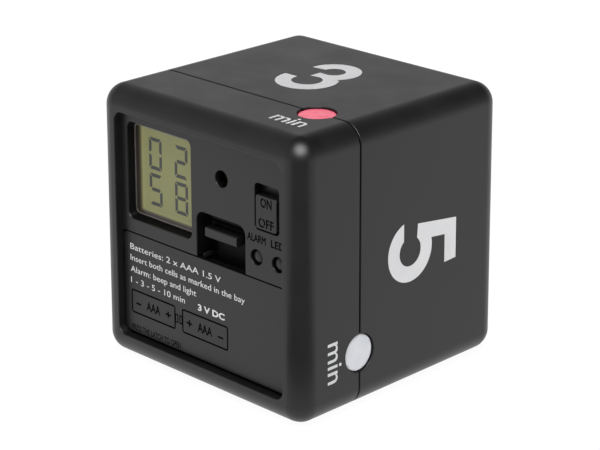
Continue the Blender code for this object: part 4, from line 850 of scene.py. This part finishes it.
def settled(name, curve, width, height, place, rise=None, left=False):
    """A flat curve or text as a mesh. Its box is width by height about the place; or, for text whose capitals
    are rise high, it stands on the place with capitals of that height, about the place or to its right."""
    holder = bpy.data.objects.new(name, curve)
    bpy.context.scene.collection.objects.link(holder)
    bpy.context.view_layer.update()
    mesh = bpy.data.meshes.new_from_object(holder.evaluated_get(bpy.context.evaluated_depsgraph_get()))
    bpy.data.objects.remove(holder)
    points = np.empty(len(mesh.vertices) * 3, np.float32)
    mesh.vertices.foreach_get("co", points)
    points = points.reshape(-1, 3)
    low, high = points.min(axis=0), points.max(axis=0)
    size = high - low
    scale = np.array([width / size[0], height / (rise or size[1]), 1.0])
    middle = (low + high) / 2
    if rise:
        middle[1] = 0.0
    if left:
        middle[0] = low[0]
    points = (points - middle) * scale
    mesh.vertices.foreach_set("co", points.astype(np.float32).ravel())
    form = bmesh.new()
    form.from_mesh(mesh)
    bmesh.ops.remove_doubles(form, verts=form.verts, dist=1e-7)
    bmesh.ops.recalc_face_normals(form, faces=form.faces)
    form.to_mesh(mesh)
    form.free()
    mesh.name = name
    mesh.transform(place)
    piece = bpy.data.objects.new(name, mesh)
    bpy.context.scene.collection.objects.link(piece)
    return piece


def lettering(name, words, width, height, place, thickness, weight=0.0, left=False):
    """Words set flat, so wide, with capitals so high; weight thickens the strokes by a share of the size."""
    curve = bpy.data.curves.new(name, "FONT")
    curve.body = words
    curve.size = 1.0
    curve.extrude = thickness / 2
    curve.offset = weight
    curve.resolution_u = 3
    return settled(name, curve, width, height, place, CAP_HEIGHT, left)


def figure(name, outlines, width, height, place, thickness):
    """A flat figure with the given closed outlines; an outline inside another one is a hole."""
    curve = bpy.data.curves.new(name, "CURVE")
    curve.dimensions = "2D"
    curve.fill_mode = "BOTH"
    curve.extrude = thickness / 2
    for outline in outlines:
        spline = curve.splines.new("POLY")
        spline.points.add(len(outline) - 1)
        flat = np.column_stack((outline, np.zeros(len(outline)), np.ones(len(outline))))
        spline.points.foreach_set("co", flat.ravel())
        spline.use_cyclic_u = True
    return settled(name, curve, width, height, place)


def three():
    """The numeral 3 in millimetres: two open rings, one on the other, with a short bar at their waist."""
    upper, lower = (7.0, 14.9), (7.0, 6.7)
    return [np.concatenate((
        arc(*upper, 5.9, 184, -42, 32),
        arc(*lower, 6.7, 38, -184, 40),
        arc(*lower, 3.3, -188, 84, 32),
        [(5.2, 9.6), (5.2, 12.6)],
        arc(*upper, 2.5, -84, 178, 28),
    ))]


def five():
    """The numeral 5 in millimetres: a bowl of one open ring, a leaning stem and a bar."""
    bowl = (6.5, 6.6)
    return [np.concatenate((
        [(2.7, 20.7), (11.6, 20.7), (11.8, 17.2), (5.6, 17.2)],
        arc(*bowl, 6.6, 102, -163, 44),
        arc(*bowl, 3.2, -143, 140, 36),
        [(1.1, 8.9)],
    ))]


def one():
    """The numeral 1 in millimetres: a stem with a flag that curves down to its left."""
    flag = arc(-1.2, 20.9, 5.4, -4, -62, 10)
    stem = [(8.4, 0.0), (8.4, 20.8), (5.0, 20.8)]
    foot = [(1.3, 12.6), (4.4, 14.4), (4.4, 0.0)]
    return [np.concatenate((stem, flag, foot))]


def nought(shift):
    """The numeral 0 in millimetres: one ellipse inside another."""
    ring = arc(0, 0, 1.0, 0, 354, 59)
    centre = (shift + 6.6, 10.4)
    return [ring * (6.6, 10.6) + centre, ring * (2.9, 7.0) + centre]


NUMERALS = {
    "top": (three(), 13.6, "minutes_3"),
    "right": (five(), 12.9, "minutes_5"),
    "bottom": ([outline - (1.3, 0) for outline in one()] + nought(10.2), 23.4, "minutes_10"),
    "left": (one(), 7.1, "minutes_1"),
}
NUMERAL_HEIGHT = 20.8 * MM
NUMERAL_Y = 5.5 * MM
UNIT_Y = -22.3 * MM


def face_prints():
    """The minutes and the unit on each of the four faces, upright with +Y, one quarter turn apart."""
    for turn, face in enumerate(FACES):
        out = Matrix.Translation(MIDDLE) @ Matrix.Rotation(math.radians(90 * turn), 4, "Y")
        outlines, width, name = NUMERALS[face]
        place = out @ Matrix.Translation((0.4 * MM, NUMERAL_Y, HALF + PRINT_HEIGHT / 2))
        numeral = figure(name, outlines, width * MM, NUMERAL_HEIGHT, place, PRINT_HEIGHT)
        dress(shaded(numeral), SILVER, "housing")
        place = out @ Matrix.Translation((LENS_X - 0.2 * MM, UNIT_Y, HALF + PRINT_HEIGHT / 2))
        unit = lettering(f"unit_{face}", "min", 8.7 * MM, 4.1 * MM, place, PRINT_HEIGHT, 0.006)
        dress(shaded(unit), WHITE, "housing")


# Door, latch, switch and buttons


def battery_door():
    """The flush door: rings of a rounded rectangle from a softened front edge, with its lower front edge cut
    back at a slant, to a softened back edge, and two tongues that tip in the lower rim."""
    half = OPENING_HALF - DOOR_SEAM
    edge = 0.12 * MM
    y = PANEL_Y + np.array([0.0, 0.3 * edge, edge, DOOR_CHAMFER, DOOR_THICKNESS - edge, DOOR_THICKNESS])
    inset = edge * np.array([1.0, 0.3, 0.0, 0.0, 0.0, 1.0])
    rise = DOOR_CHAMFER * np.array([1.0, 0.8, 0.65, 0.0, 0.0, 0.3])
    low, high = DOOR_LOW_Z + rise, door_high.z - inset
    corner = np.stack((1.0 * MM - inset,) * 2 + (OPENING_RADIUS - DOOR_SEAM - inset,) * 2, axis=1)
    rings = rectangles(half - inset, (high - low) / 2, corner)
    rings = standing(rings, y)
    rings[:, :, 2] += ((high + low) / 2)[:, None]
    door = solid("battery_door_moulding", skin(rings))
    steps = []
    for side in (-1, 1):
        tip = arc(HINGE.y, HINGE.z, TONGUE_RADIUS, 180, 360, 14)
        outline = np.concatenate((tip, [
            (HINGE.y + TONGUE_RADIUS, DOOR_LOW_Z + TONGUE_WIDTH / 4),
            (DOOR_BACK_Y - DOOR_THICKNESS / 4, DOOR_LOW_Z + TONGUE_WIDTH / 3),
            (DOOR_BACK_Y - DOOR_THICKNESS / 4, DOOR_LOW_Z + DOOR_BOTTOM_GAP / 2),
            (HINGE.y - TONGUE_RADIUS, DOOR_LOW_Z - DOOR_BOTTOM_GAP / 3),
        ]))
        x = side * TONGUE_OFFSET + np.array([-1, 1]) * TONGUE_WIDTH / 2
        ends = np.stack([np.column_stack((np.full(len(outline), end), outline)) for end in x])
        steps.append(("UNION", solid(f"tongue_{side}", skin(ends))))
    steps.extend(("DIFFERENCE", mark) for mark in door_marks())
    carve(door, steps)
    return dress(shaded(door), RECESS_SHADED_BLACK, "door", ["battery_door"])


def line_frame(name, half_width, half_height, radius, line, place, height):
    """A flat closed line: a rounded rectangle with a smaller one as its hole."""
    outer = rectangles(half_width, half_height, radius, 8)[0]
    inner = rectangles(half_width - line, half_height - line, max(radius - line, 0.1 * MM), 8)[0]
    return figure(name, [outer, inner], 2 * half_width, 2 * half_height, place, height)


def door_print():
    """Generic print on the door: four lines about the cells and the timer, and the supply voltage in bold."""
    left = -OPENING_HALF + PRINT_MARGIN
    lines = (
        ("Batteries: 2 x AAA 1.5 V", left, 28.0, 24.45, 0.0),
        ("Insert both cells as marked in the bay", left, 35.0, 21.95, 0.0),
        ("Alarm: beep and light", left, 20.5, 19.4, 0.0),
        ("1 - 3 - 5 - 10 min", left, 17.0, 16.85, 0.0),
        ("3 V DC", left + 21.0 * MM, 8.0, 16.6, 0.03),
    )
    for number, (words, x, width, foot, weight) in enumerate(lines, 1):
        place = panel_place(x, foot * MM, PANEL_Y - PRINT_HEIGHT / 2)
        name = f"door_print_{number}"
        line = lettering(name, words, width * MM, PRINT_CAPITALS, place, PRINT_HEIGHT, weight, True)
        dress(shaded(line), WHITE, "door")


def door_marks():
    """Cutters for the marks engraved in the door: two cells with their poles, and a small line of words."""
    depth = 2 * MARK_DEPTH
    half_width, half_height = 7.0 * MM, 2.7 * MM
    z = 12.8 * MM
    for number, (x, sign) in enumerate(((-15.5 * MM, 1), (0.5 * MM, -1)), 1):
        body = panel_place(x, z, PANEL_Y)
        yield line_frame(f"cell_mark_{number}", half_width, half_height, 0.6 * MM, 0.4 * MM, body, depth)
        nub_x = x + sign * (half_width + 0.35 * MM)
        nub = panel_place(nub_x, z, PANEL_Y)
        yield line_frame(f"nub_mark_{number}", 0.5 * MM, 1.0 * MM, 0.15 * MM, 0.3 * MM, nub, depth)
        foot = z - 0.95 * MM
        word = panel_place(x, foot, PANEL_Y)
        yield lettering(f"size_mark_{number}", "AAA", 4.4 * MM, 1.9 * MM, word, depth, 0.03)
        for pole, way, width, height in (("+", sign, 1.8 * MM, 1.8 * MM), ("-", -sign, 1.6 * MM, 1.9 * MM)):
            spot = panel_place(x + way * 4.7 * MM, foot, PANEL_Y)
            yield lettering(f"pole_mark_{number}_{way}", pole, width, height, spot, depth, 0.03)
    place = panel_place(-OPENING_HALF + PRINT_MARGIN, 5.9 * MM + DOOR_BOTTOM_GAP, PANEL_Y)
    yield lettering("foot_mark", "PRESS THE LATCH TO OPEN", 15.5 * MM, 1.25 * MM, place, depth, 0.02, True)


def softened(node, width=0.12, name=None, angle=40):
    """A node's own solid with its flats made whole again and its edges rounded by a few hundredths."""
    source = NODES[node]
    form = bmesh.new()
    form.from_mesh(source.data)
    bmesh.ops.remove_doubles(form, verts=form.verts, dist=1e-6)
    bmesh.ops.dissolve_limit(form, angle_limit=math.radians(1.0), verts=form.verts, edges=form.edges)
    mesh = bpy.data.meshes.new(name or node + "_body")
    form.to_mesh(mesh)
    form.free()
    piece = bpy.data.objects.new(name or node + "_body", mesh)
    bpy.context.scene.collection.objects.link(piece)
    if width:
        bevel = piece.modifiers.new("soft edges", "BEVEL")
        bevel.width = width * MM
        bevel.segments = 2
        bevel.limit_method = "ANGLE"
        bevel.angle_limit = math.radians(angle)
    # The latch takes the black with painted shade deep in its pocket
    finish = POCKET_SHADED_LATCH_BLACK if node == "door_latch" else FINISHES[SLOT_OF[node]]
    return dress(shaded(piece), finish, source["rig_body"], [node])


def switch_knob():
    """The slide knob: a rounded face with a quarter-round edge, its flange behind the panel and two words."""
    front_y = knob_low.y
    flange_y = knob_high.y - KNOB_FLANGE
    round_steps = np.radians(np.linspace(0, 90, 6))
    edge = 0.18 * MM
    inset = np.concatenate((edge * (1 - np.sin(round_steps)), [0.0]))
    y = np.concatenate((front_y + edge * (1 - np.cos(round_steps)), [flange_y + KNOB_FLANGE / 2]))
    rings = rectangles(KNOB_WIDTH / 2 - inset, KNOB_HEIGHT / 2 - inset, SLOT_RADIUS - 0.2 * MM - inset)
    knob = solid("switch_knob_moulding", skin(standing(rings, y, SLOT_X, KNOB_LOW_Z + KNOB_HEIGHT / 2)))
    steps = [("UNION", box_solid("flange", (knob_low.x, flange_y, knob_low.z), knob_high))]
    for words, width, foot in (("ON", 3.2 * MM, 4.75 * MM), ("OFF", 4.4 * MM, 0.5 * MM)):
        place = panel_place(SLOT_X, KNOB_LOW_Z + foot, front_y)
        cutter = lettering(f"cut_{words}", words, width, KNOB_CAPITALS, place, 2 * MARK_DEPTH, 0.03)
        steps.append(("DIFFERENCE", cutter))
    carve(knob, steps)
    return dress(shaded(knob), BLACK, "power_switch", ["switch_knob"])


def push_button(node, body):
    """A domed button: a stem, a flange behind the panel and a cap whose top is an eighth of a wide sphere."""
    low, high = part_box(node)
    x, z = screw_spot(node)
    dome = arc(0, 0, 1.0, 4, 90, 14)
    cap_height = 0.75 * MM
    flange_radius = (high.x - low.x) / 2
    flange_y = PANEL_BACK_Y + GAP
    stem = BUTTON_RADIUS * 0.7
    radius = np.concatenate((
        [0.0, stem, stem, flange_radius, flange_radius, BUTTON_RADIUS],
        BUTTON_RADIUS * dome[:, 0],
    ))
    y = np.concatenate((
        [high.y, high.y, flange_y + BUTTON_FLANGE, flange_y + BUTTON_FLANGE, flange_y, flange_y],
        low.y + cap_height * (1 - dome[:, 1]),
    ))
    radius[-1] = 0.0
    place = Matrix.Translation((x, 0, z)) @ Matrix.Rotation(math.radians(90), 4, "X")
    button = solid(node + "_moulding", skin(circles(radius, -y, 48)), place)
    return dress(shaded(button), BLACK, body, [node])


# Display and lenses

DIGIT_WIDTH = 3.95 * MM
DIGIT_HEIGHT = 7.0 * MM
SEGMENT = 0.78 * MM
SEGMENT_GAP = 0.17 * MM
LIT_SEGMENTS = {"0": "abcdef", "2": "abged", "5": "afgcd", "8": "abcdefg"}
DIGITS_LEFT = 4.14 * MM
DIGITS_TOP = 1.79 * MM
DIGIT_ROW = 7.88 * MM
DIGIT_COLUMN = 7.93 * MM


def display():
    """The display: its film with softened edges, a thin pale line round it and the lit segments."""
    x, z = screw_spot("display_glass")
    half_x, half_z = (glass_high.x - glass_low.x) / 2, (glass_high.z - glass_low.z) / 2
    inset = np.array([0.1, 0.0, 0.0, 0.1]) * MM
    y = np.array([glass_low.y, glass_low.y + 0.1 * MM, glass_high.y - 0.1 * MM, glass_high.y])
    rings = standing(rectangles(half_x - inset, half_z - inset, 0.5 * MM - inset), y, x, z)
    film = solid("display_cell", skin(rings))
    dress(shaded(film), FINISHES["display_glass"], "housing", ["display_glass"])
    line = 0.3 * MM
    place = panel_place((FILM_LEFT + FILM_RIGHT) / 2, (FILM_LOW_Z + FILM_TOP_Z) / 2, glass_low.y - 0.1 * MM)
    inner_x, inner_z = (FILM_RIGHT - FILM_LEFT) / 2 + line, (FILM_TOP_Z - FILM_LOW_Z) / 2 + line
    edge = line_frame("display_window_edge", inner_x, inner_z, 1.1 * MM, line, place, 0.18 * MM)
    dress(shaded(edge), window_edge_glint(), "housing")
    digits = display_digits()
    dress(shaded(digits), crystal_segments(), "housing")


def segment_outline(segment):
    """One segment of a seven-segment digit about the digit's lower left corner: a bar with mitred ends."""
    w, h, t, g = DIGIT_WIDTH, DIGIT_HEIGHT, SEGMENT, SEGMENT_GAP
    top = np.array([(g * 1.4, h), (w - g * 1.4, h), (w - t - g * 0.4, h - t), (t + g * 0.4, h - t)])
    middle = np.array([
        (t * 0.5 + g, h / 2), (t + g * 0.6, h / 2 + t / 2), (w - t - g * 0.6, h / 2 + t / 2),
        (w - t * 0.5 - g, h / 2), (w - t - g * 0.6, h / 2 - t / 2), (t + g * 0.6, h / 2 - t / 2),
    ])
    side = np.array([(0, h - g * 1.4), (t, h - t - g * 0.4), (t, h / 2 + t / 2 + g * 0.6), (0, h / 2 + g)])
    shapes = {
        "a": top,
        "d": top * (1, -1) + (0, h),
        "g": middle,
        "f": side,
        "b": side * (-1, 1) + (w, 0),
        "e": side * (1, -1) + (0, h),
        "c": side * (-1, -1) + (w, h),
    }
    return shapes[segment]


def display_digits():
    """All lit segments as one thin mesh: every outline is a face on the film and a face just above it."""
    left = FILM_LEFT + DIGITS_LEFT
    top = FILM_TOP_Z - DIGITS_TOP - DIGIT_HEIGHT
    rows = (top, top - DIGIT_ROW)
    front, back = glass_low.y - 0.012 * MM, glass_low.y + 0.02 * MM
    points, faces = [], []
    count = 0
    for base_z, pair in zip(rows, ("02", "58")):
        for column, digit in enumerate(pair):
            for segment in LIT_SEGMENTS[digit]:
                outline = segment_outline(segment) + (left + column * DIGIT_COLUMN, base_z)
                shape, walls = skin(standing([outline, outline], (front, back)))
                points.append(shape)
                faces.extend([[index + count for index in face] for face in walls])
                count += len(shape)
    return solid("display_digits", (np.concatenate(points), faces))


def signal_lens(face, place):
    """A round lens: a flange inside, a straight side with a polished rounded rim, and a face that rises by a
    tenth of a millimetre to its middle as 1 - r squared."""
    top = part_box("lens_top")[1].z - MIDDLE.z
    flange_top = top - (HALF - 0.25 * MM - LIP_HALF)
    rim = 0.3 * MM
    rise = 0.1 * MM
    edge = arc(LENS_RADIUS - rim, top - rise - rim, rim, 0, 80, 8)
    across = np.linspace(1.0, 0.0, 14)[1:] * (LENS_RADIUS - rim)
    crown = np.column_stack((across, top - rise * (across / LENS_RADIUS) ** 2))
    flange = [
        (0.0, flange_top - LENS_FLANGE),
        (LENS_RADIUS + LENS_FLANGE, flange_top - LENS_FLANGE),
        (LENS_RADIUS + LENS_FLANGE, flange_top),
        (LENS_RADIUS, flange_top),
    ]
    profile = np.concatenate((flange, edge, crown))
    lens = solid(f"signal_lens_{face}", skin(circles(profile[:, 0], profile[:, 1], 72)), place)
    node = f"lens_{face}"
    return dress(shaded(lens), FINISHES[SLOT_OF[node]], "housing", [node])


# Battery bay


def jacket_film(name, colours, plus_side, centre_x):
    """Printed shrink film of a dry cell: a deep body colour, a metallic band at the plus end, a thin line."""
    material, tree, shader = principled(name, Coat_Weight=0.4, Coat_Roughness=0.15, Roughness=0.32)
    place = add(tree, "TexCoord")
    axes = add(tree, "SeparateXYZ", {"Vector": place.outputs["Object"]})
    along = add(
        tree,
        "MapRange",
        {
            "Value": axes.outputs["X"],
            "From Min": centre_x - plus_side * FILM_HALF_LENGTH,
            "From Max": centre_x + plus_side * FILM_HALF_LENGTH,
        },
    )
    body, line, band = (srgb(code) for code in colours)
    stops = ((0.0, body), (0.70, body), (0.705, line), (0.72, line), (0.725, band))
    zones = ramp(tree, along.outputs["Result"], stops)
    wrinkles = add(tree, "TexNoise", {"Vector": place.outputs["Object"], "Scale": per(3.0), "Detail": 3.0})
    tone = ramp(tree, wrinkles.outputs["Fac"], ((0.3, srgb("E6E6E6")), (0.7, srgb("FFFFFF"))))
    mixed = add(tree, "MixRGB", {"Fac": 1.0, "Color1": zones, "Color2": tone}, blend_type="MULTIPLY")
    tree.links.new(mixed.outputs[0], shader.inputs["Base Color"])
    bump = add(tree, "Bump", {"Height": wrinkles.outputs["Fac"], "Distance": 0.02 * MM})
    tree.links.new(bump.outputs["Normal"], shader.inputs["Normal"])
    return material


def dry_cell(node, plus_side):
    """A dry cell along X: a steel can with a beaded end and a nub, in a film that turns in at both ends."""
    low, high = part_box(node)
    radius = (high.z - low.z) / 2
    length = high.x - low.x
    nub, nub_radius = 0.8 * MM, 1.9 * MM
    body = length - nub
    can_radius = radius - 0.08 * MM
    foot = arc(can_radius - 0.5 * MM, 0.55 * MM, 0.45 * MM, -90, 0, 6)
    shoulder = arc(can_radius - 0.5 * MM, body - 0.5 * MM, 0.45 * MM, 0, 90, 6)
    tip = arc(nub_radius - 0.25 * MM, length - 0.25 * MM, 0.25 * MM, 0, 90, 5)
    can_profile = np.concatenate((
        [(0.0, 0.35 * MM), (2.6 * MM, 0.3 * MM), (3.0 * MM, 0.1 * MM)],
        foot,
        shoulder,
        [(nub_radius + 1.2 * MM, body - 0.1 * MM), (nub_radius + 0.9 * MM, body - 0.25 * MM)],
        [(nub_radius + 0.1 * MM, body - 0.2 * MM), (nub_radius, body)],
        tip,
        [(0.0, length)],
    ))
    start = low.x if plus_side > 0 else high.x
    turn = Matrix.Rotation(math.radians(90 * plus_side), 4, "Y")
    place = Matrix.Translation((start, (low.y + high.y) / 2, (low.z + high.z) / 2)) @ turn
    can = solid(node + "_can", skin(circles(can_profile[:, 0], can_profile[:, 1], 64)), place)
    dress(shaded(can), NICKEL, "housing", [node])
    edge = 0.4 * MM
    low_turn = arc(radius - edge, edge, edge, -80, 0, 6)
    high_turn = arc(radius - edge, body - edge, edge, 0, 80, 6)
    thick = 0.06 * MM
    outer = np.concatenate((low_turn, high_turn))
    inner = np.column_stack((outer[::-1, 0] - thick, outer[::-1, 1]))
    loop = np.concatenate((outer, inner))
    rings = circles(loop[:, 0], loop[:, 1], 64)
    film = solid(node + "_film", hoop(rings), place)
    colours = ("24465E", "E8E8E6", "B87333")
    centre = (low.x + high.x) / 2
    jacket = jacket_film(node + "_printed_film", colours, plus_side, centre)
    dress(shaded(film), jacket, "housing")
    words = lettering(
        node + "_print", "AAA  1.5 V", 20.0 * MM, 3.2 * MM, Matrix.Identity(4), 0.02 * MM, 0.015
    )
    points = np.empty(len(words.data.vertices) * 3, np.float32)
    words.data.vertices.foreach_get("co", points)
    points = points.reshape(-1, 3)
    angle = points[:, 1] / radius
    reach = radius + 0.015 * MM + points[:, 2]
    across = np.column_stack((
        points[:, 0] + centre - plus_side * 5.5 * MM,
        (low.y + high.y) / 2 - reach * np.cos(angle),
        (low.z + high.z) / 2 + reach * np.sin(angle),
    ))
    words.data.vertices.foreach_set("co", across.astype(np.float32).ravel())
    words.data.update()
    dress(shaded(words), WHITE, "housing")


def hoop(rings):
    """Points and faces of a closed ring: the last profile row joins the first one, with no end faces."""
    rows, count = rings.shape[:2]
    index = np.arange(rows * count).reshape(rows, count)
    beside = np.roll(index, -1, axis=1)
    above, far = np.roll(index, -1, axis=0), np.roll(beside, -1, axis=0)
    return rings.reshape(-1, 3), np.stack((index, beside, far, above), axis=2).reshape(-1, 4).tolist()


def wire_along(path, radius, steps=12):
    """Rings of a round wire: at each point of the path a circle in the plane across the path's direction."""
    along = np.gradient(path, axis=0)
    along /= np.linalg.norm(along, axis=1)[:, None]
    aside = np.cross(along, (1.0, 0.0, 0.0))
    aside /= np.linalg.norm(aside, axis=1)[:, None]
    third = np.cross(along, aside)
    angle = np.linspace(0, 2 * np.pi, steps, endpoint=False)
    circle = np.cos(angle)[None, :, None] * aside[:, None] + np.sin(angle)[None, :, None] * third[:, None]
    return path[:, None, :] + radius * circle


def contact_spring(node, side):
    """A conical coil: radius shrinks evenly from plate to cell while the angle runs through three turns, with
    a closed turn at its root."""
    low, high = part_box(node)
    wire = 0.25 * MM
    root, tip = (high.x - wire, low.x + wire) if side > 0 else (low.x + wire, high.x - wire)
    centre_y, centre_z = (low.y + high.y) / 2, (low.z + high.z) / 2
    wide = (high.z - low.z) / 2 - wire
    t = np.linspace(0, 1, 181)
    angle = 2 * np.pi * 4 * t
    radius = wide * (1 - 0.4 * t)
    advance = np.clip((t - 0.12) / 0.8, 0, 1)
    path = np.column_stack((
        root + (tip - root) * advance, centre_y + radius * np.cos(angle), centre_z + radius * np.sin(angle)
    ))
    spring = solid(node + "_wire", skin(wire_along(path, wire)))
    return dress(shaded(spring), NICKEL, "housing", [node])


# Studio

CAMERA_AZIMUTH = 44.917
CAMERA_ELEVATION = 14.88
CAMERA_ROLL = -0.126
CAMERA_DISTANCE = 0.453814
CAMERA_LENS = 127.88976
SENSOR_WIDTH = 36.0
CAMERA_ASIDE = 0.025975 * MM
CAMERA_RISE = 41.730740 * MM
LENS_SHIFT = -0.3408317
SKY_WAY = (0.287, 0.0, 0.958)
CLOTH_RISE = 0.4 * MM


def studio():
    """A white floor, a bright low horizon under a dim ceiling, a softbox that only reflections see, two lamps
    that only matt surfaces see, and a black card and cloth on the camera's side."""
    bpy.ops.mesh.primitive_plane_add(size=8.0, location=(0, 0, cad_low.z - 0.05 * MM))
    floor = bpy.context.object
    floor.name = "studio_floor"
    material, tree, shader = principled("white_sweep", Roughness=0.9, Emission_Strength=0.96)
    place = add(tree, "TexCoord")
    cloud = add(tree, "TexNoise", {"Vector": place.outputs["Object"], "Scale": 3.0})
    pale = ramp(tree, cloud.outputs["Fac"], ((0.3, srgb("585858")), (0.7, srgb("606060"))))
    tree.links.new(pale, shader.inputs["Base Color"])
    shader.inputs["Emission Color"].default_value = srgb("FFFFFF")
    shader.inputs["Specular IOR Level"].default_value = 0.0
    floor.data.materials.append(material)

    world = bpy.data.worlds.new("studio")
    bpy.context.scene.world = world
    world.use_nodes = True
    tree = world.node_tree
    tree.nodes.clear()
    place = add(tree, "TexCoord")
    rise = add(tree, "VectorMath", {0: place.outputs["Generated"], 1: SKY_WAY}, operation="DOT_PRODUCT")
    sky = ramp(tree, rise.outputs["Value"], (
        (0.0, srgb("D4D4D4")), (0.15, srgb("CCCCCC")), (0.38, srgb("B3B3B4")),
        (0.67, srgb("2C2C2D")), (1.0, srgb("2B2B2C")),
    ))
    seen = add(tree, "LightPath")
    mixed = add(tree, "MixRGB", {"Fac": seen.outputs["Is Camera Ray"], "Color1": sky, "Color2": (1, 1, 1, 1)})
    light = add(tree, "Background", {"Color": mixed.outputs[0], "Strength": 1.0})
    out = add(tree, "OutputWorld")
    tree.links.new(light.outputs[0], out.inputs["Surface"])

    for name, azimuth, elevation, distance, size, power, mirrored in (
        ("corner_softbox", 49, 52, 0.9, 0.5, 25.0, True),
        ("corner_fill", 45, 60, 0.9, 0.3, 2.5, False),
        ("overhead_fill", 200, 80, 1.1, 0.5, 4.0, False),
    ):
        data = bpy.data.lights.new(name, "AREA")
        data.shape = "DISK"
        data.size = size
        data.energy = power
        lamp = bpy.data.objects.new(name, data)
        lamp.visible_glossy = mirrored
        lamp.visible_diffuse = not mirrored
        bpy.context.scene.collection.objects.link(lamp)
        a, e = math.radians(azimuth), math.radians(elevation)
        out_way = Vector((math.sin(a) * math.cos(e), -math.cos(a) * math.cos(e), math.sin(e)))
        lamp.location = MIDDLE + out_way * distance
        lamp.rotation_euler = out_way.to_track_quat("Z", "Y").to_euler()

    reach = 0.33
    angle = np.radians(np.linspace(-36, 36, 25)) + math.radians(CAMERA_AZIMUTH)
    around = np.stack((np.sin(angle), -np.cos(angle)), axis=1)
    heights = np.linspace(0.001, 0.9, 8)
    upright = [np.column_stack((reach * around, np.full(len(angle), height))) for height in heights]
    black_card("black_card", upright)
    distances = np.linspace(0.055, reach, 8)
    lying = [np.column_stack((far * around, np.full(len(angle), CLOTH_RISE))) for far in distances]
    black_card("black_cloth", lying)


def black_card(name, rows):
    """A sheet through rows of points that only reflections see."""
    index = np.arange(sum(map(len, rows))).reshape(len(rows), -1)
    quads = np.stack((index[:-1, :-1], index[:-1, 1:], index[1:, 1:], index[1:, :-1]), axis=2).reshape(-1, 4)
    mesh = bpy.data.meshes.new(name)
    mesh.from_pydata(np.concatenate(rows), [], quads.tolist())
    card = bpy.data.objects.new(name, mesh)
    bpy.context.scene.collection.objects.link(card)
    material, tree, shader = principled("black_velvet", Roughness=1.0)
    grain(tree, shader, 0.5, 0.01, 0.9, 0.05, ("8C8C8C", "989898"))
    mesh.materials.append(material)
    card.visible_camera = False
    card.visible_shadow = False
    card.visible_diffuse = False


def camera():
    """The camera looks from front and right and a little down, stands above the line through the cube's
    middle, and has its lens shifted down to take the cube in."""
    a, e, r = (math.radians(value) for value in (CAMERA_AZIMUTH, CAMERA_ELEVATION, CAMERA_ROLL))
    back = Vector((math.sin(a) * math.cos(e), -math.cos(a) * math.cos(e), math.sin(e)))
    level = Vector((math.cos(a), math.sin(a), 0))
    upright = back.cross(level)
    right = level * math.cos(r) + upright * math.sin(r)
    up = upright * math.cos(r) - level * math.sin(r)
    data = bpy.data.cameras.new("camera")
    data.sensor_width = SENSOR_WIDTH
    data.lens = CAMERA_LENS
    data.shift_y = LENS_SHIFT
    data.clip_start, data.clip_end = 0.01, 20.0
    eye = bpy.data.objects.new("camera", data)
    bpy.context.scene.collection.objects.link(eye)
    spot = MIDDLE + back * CAMERA_DISTANCE + right * CAMERA_ASIDE + up * CAMERA_RISE
    turn = Matrix((right, up, back)).transposed().to_4x4()
    eye.matrix_world = Matrix.Translation(spot) @ turn
    bpy.context.scene.camera = eye


def build():
    front_shell()
    rear_shell()
    battery_door()
    door_print()
    switch_knob()
    push_button("alarm_button", "alarm_push")
    push_button("light_button", "light_push")
    display()
    for face, place in zip(FACES, lens_places()):
        signal_lens(face, place)
    face_prints()
    dry_cell("cell_upper", -1)
    dry_cell("cell_lower", 1)
    contact_spring("bridge_spring", -1)
    contact_spring("negative_spring", 1)
    done = {name for piece in bpy.data.objects for name in piece.get("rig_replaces", [])}
    rounding = {"red_wire": 0.0, "black_wire": 0.0, "lamp_epoxy": 0.0, "black_abs": 0.2}
    for node in sorted(set(NODES) - done):
        softened(node, rounding.get(SLOT_OF[node], 0.1))


build()
studio()
camera()
bpy.context.scene.view_settings.view_transform = "Standard"
